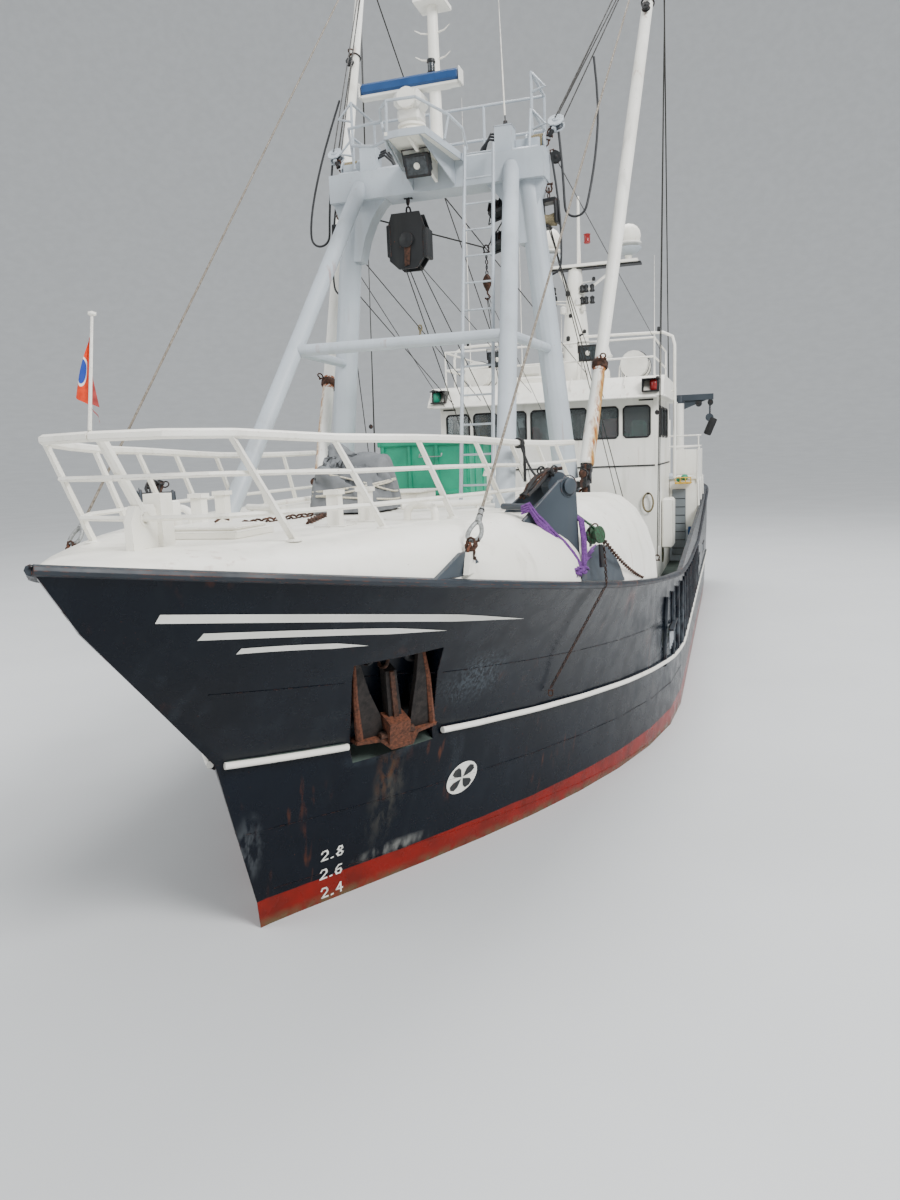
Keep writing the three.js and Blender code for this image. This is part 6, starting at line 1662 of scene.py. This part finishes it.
# %% [markdown]
# ## Doors, hatch, winch and davit
# Doors are steel leaves with dogs at their edges, a lever and a gasket that shows as a dark line.
# The hatch's lid has stiffeners and dogs. The winch drums carry warps laid turn by turn, and the
# davit's boom holds two blocks and a fender on a chain. Each rides with what it is fixed to.

# %% Doors, hatch, winch and davit
for side, tail in SIDES:
    name = "side_door_" + tail
    box = partial(side_bar, side)
    leaf = [(box((-7.81, 2.383, 1.5), (-7.36, 2.389, 3), 0.002), WHITE),
        (ring((-7.585, side * 2.388, 2.62), (0, 1, 0), 0.27, 0.028, 24), BRONZE),
        (sideways([(0, 0.12), (0.004, 0.12), (0.005, 0)], (-7.585, side * 2.386, 2.62), side, 20), SCREEN),
        (tube([(-7.8, side * 2.4, 2.15), (-7.62, side * 2.43, 2.15)], 0.013, 6), GALVANISED),
        (sideways([(0, 0.035), (0.03, 0.03)], (-7.8, side * 2.383, 2.15), side, 12), GALVANISED)]
    leaf += [(box((x - 0.012, 2.386, z - 0.05), (x + 0.012, 2.41, z + 0.05), 0.004), GALVANISED)
        for x in (-7.84, -7.34) for z in (1.6, 2.9)]
    leaf += [(box((a, 2.384, c), (b, 2.392, d), 0.001), BLACK)
        for a, b, c, d in ((-7.845, -7.825, 1.46, 3.04), (-7.345, -7.325, 1.46, 3.04),
        (-7.845, -7.325, 1.46, 1.48), (-7.845, -7.325, 3.02, 3.04))]
    piece(name + "_fittings", name, leaf)
back = [(bar((-6.416, 0.36, 4.2), (-6.41, 0.8, 4.72), 0.002), SCREEN),
    (tube([(-6.42, 0.34, 4.18), (-6.42, 0.82, 4.18), (-6.42, 0.82, 4.74), (-6.42, 0.34, 4.74)], 0.012, 6,
    closed=True), BLACK), (tube([(-6.43, 0.3, 4.05), (-6.45, 0.42, 4.05)], 0.012, 6), GALVANISED)]
piece("wheelhouse_door_fittings", "wheelhouse_door", back)
lid = [(bar((0.32, y - 0.02, 1.81), (1.66, y + 0.02, 1.84), 0.005), GREY) for y in (-0.45, 0, 0.45)]
lid += [(bar((x - 0.02, -0.66, 1.81), (x + 0.02, 0.66, 1.835), 0.005), GREY) for x in (0.7, 1.25)]
lid += [(tube([(1.6, -0.12, 1.81), (1.6, -0.12, 1.88), (1.6, 0.12, 1.88), (1.6, 0.12, 1.81)], 0.012, 6),
    GALVANISED)]
lid += [(upright([(0, 0.035), (0.02, 0.035), (0.03, 0.02), (0.06, 0.02)], (1.68, y, 1.805), 10), RUST)
    for y in (-0.5, 0.5)]
piece("hatch_lid_stiffeners", "hatch_lid", lid)
WINCH_X, WINCH_Z = -1.7, 1.98   # the drums' shaft
WARP = plain_finish("worn_combination_warp", "#7a705c", "#4d463a", 0.8, metal=0.2, size_mm=16, depth=0.003)
for side, tail in SIDES:
    name = "winch_drum_" + tail
    drum = [(ring((WINCH_X, side * (0.245 + 0.0262 * k), WINCH_Z), (0, 1, 0), 0.655, 0.028, 30), WARP)
        for k in range(24)]
    drum += [(ring((WINCH_X, side * (0.26 + 0.0275 * k), WINCH_Z), (0, 1, 0), 0.705, 0.028, 30), WARP)
        for k in range(13)]
    drum += [(sideways([(0, 0.03), (0.02, 0.03), (0.025, 0)], (WINCH_X + 0.36 * math.cos(a), side * 0.918,
        WINCH_Z + 0.36 * math.sin(a)), side, 8), RUST) for a in angles(10)]
    piece(name + "_warp", name, drum)
own = [(sideways([(0, 0.24), (0.02, 0.26), (0.14, 0.26), (0.16, 0.2), (0.34, 0.2), (0.36, 0.15), (0.4, 0)],
    (WINCH_X, 1.162, WINCH_Z), 1, 24), GREY)]
own += coat(HOSE, tube([(-1.6, 1.35, 2.18), (-1.45, 1.42, 2.3), (-1.3, 1.38, 2), (-1.2, 1.3, 1.3)], 0.02, 8),
    tube([(-1.8, 1.35, 2.18), (-1.6, 1.5, 2.34), (-1.35, 1.45, 2), (-1.22, 1.36, 1.3)], 0.02, 8))
own += [(tube([(-1.25, 0.3 + 0.18 * k, 1.9), (-1.12, 0.3 + 0.18 * k, 2.3)], 0.012, 6), GALVANISED)
    for k in range(3)]
own += [(ball((-1.12, 0.3 + 0.18 * k, 2.32), 0.026), BLACK) for k in range(3)]
own += [(upright([(0, 0.03), (0.03, 0.03)], (x, y, 1.235), 6), RUST) for x in (-2.1, -1.3)
    for y in (1.05, 0.15)]
own += [(tube([(x, 0.68, 1.6), (x, 0.75, 1.62), (x, 0.76, 1.74)], 0.012, 6), RUST) for x in (0.5, 1, 1.5)]
own += [(bar((0.26, 0.66, 1.66), (1.74, 0.72, 1.7), 0.006), GREY)]
piece("winch_and_hatch_fittings", "ship", both_sides(own))
BOOM_X = -10.1
boom = block((BOOM_X, 2.86, 5.22), (0, 0, -1), 0.17, DARK, (1, 0, 0))
boom += block((BOOM_X, 3.17, 5.22), (0, 0, -1), 0.15, DARK, (1, 0, 0))
boom += [(plate([(-10.112, 2.47, 4.98), (-10.112, 2.47, 5.22), (-10.112, 3.1, 5.22)], (0.024, 0, 0)), SLATE)]
boom += chain(((BOOM_X, 3.17, 5.05), (BOOM_X, 3.17, 4.78)), 0.06, DARK)
boom += shackle((BOOM_X, 3.17, 4.8), (0, 0, -1), 0.09, DARK)
boom += [(turned([(0, 0.03), (0.01, 0.095), (0.05, 0.105), (0.44, 0.105), (0.48, 0.095), (0.49, 0.03)],
    (BOOM_X, 3.08, 4.26), (BOOM_X, 3.27, 4.72), 20), BLACK)]
piece("davit_blocks_and_fender", "davit_boom", boom)
refinish("davit_post", WHITE)

# %% [markdown]
# ## The studio
# A plain pale floor lies at the waterline, so the boat sits as deep as it floats. Far out it
# turns up like a photographer's cove, which hides the horizon. A broad light stands high over
# the port bow and the sky is bright, as under thin cloud.

# %% Floor and lights
profile = [(0.01, 0), (60, 0), (140, 0)]
profile += [(140 + 240 * math.sin(a), 240 * (1 - math.cos(a)))
    for a in (math.pi / 2 * k / 16 for k in range(1, 15))]
cove = grid([[Vector((r * math.cos(t), r * math.sin(t), z))
    for t in (2 * math.pi * k / 64 for k in range(65))] for r, z in profile])
floor_mesh = bpy.data.meshes.new("floor")
floor_mesh.from_pydata([tuple(p) for p in cove[0]], [], [face[::-1] for face in cove[1]])
floor_mesh.polygons.foreach_set("use_smooth", [True] * len(floor_mesh.polygons))
floor = bpy.data.objects.new("floor", floor_mesh)
bpy.context.collection.objects.link(floor)
floor_mesh.materials.append(plain_finish("studio_floor", "#c9cbcc", "#c5c7c8", 0.7, size_mm=3000))
world = bpy.data.worlds.new("studio")
bpy.context.scene.world = world
world.use_nodes = True
world.node_tree.nodes["Background"].inputs["Color"].default_value = paint("#eef0f2")
world.node_tree.nodes["Background"].inputs["Strength"].default_value = 1.15
for name, at, aim, size, power in (("key", (20, 24, 26), (2, 0, 3), 12, 15500),
        ("fill", (20, -22, 14), (0, 0, 4), 18, 3500), ("rim", (-12, 2, 28), (2, 0, 3), 16, 7500)):
    light = bpy.data.lights.new(name, "AREA")
    light.size, light.energy = size, power
    lamp = bpy.data.objects.new(name, light)
    bpy.context.collection.objects.link(lamp)
    lamp.location = at
    lamp.rotation_euler = (Vector(aim) - Vector(at)).to_track_quat("-Z", "Y").to_euler()
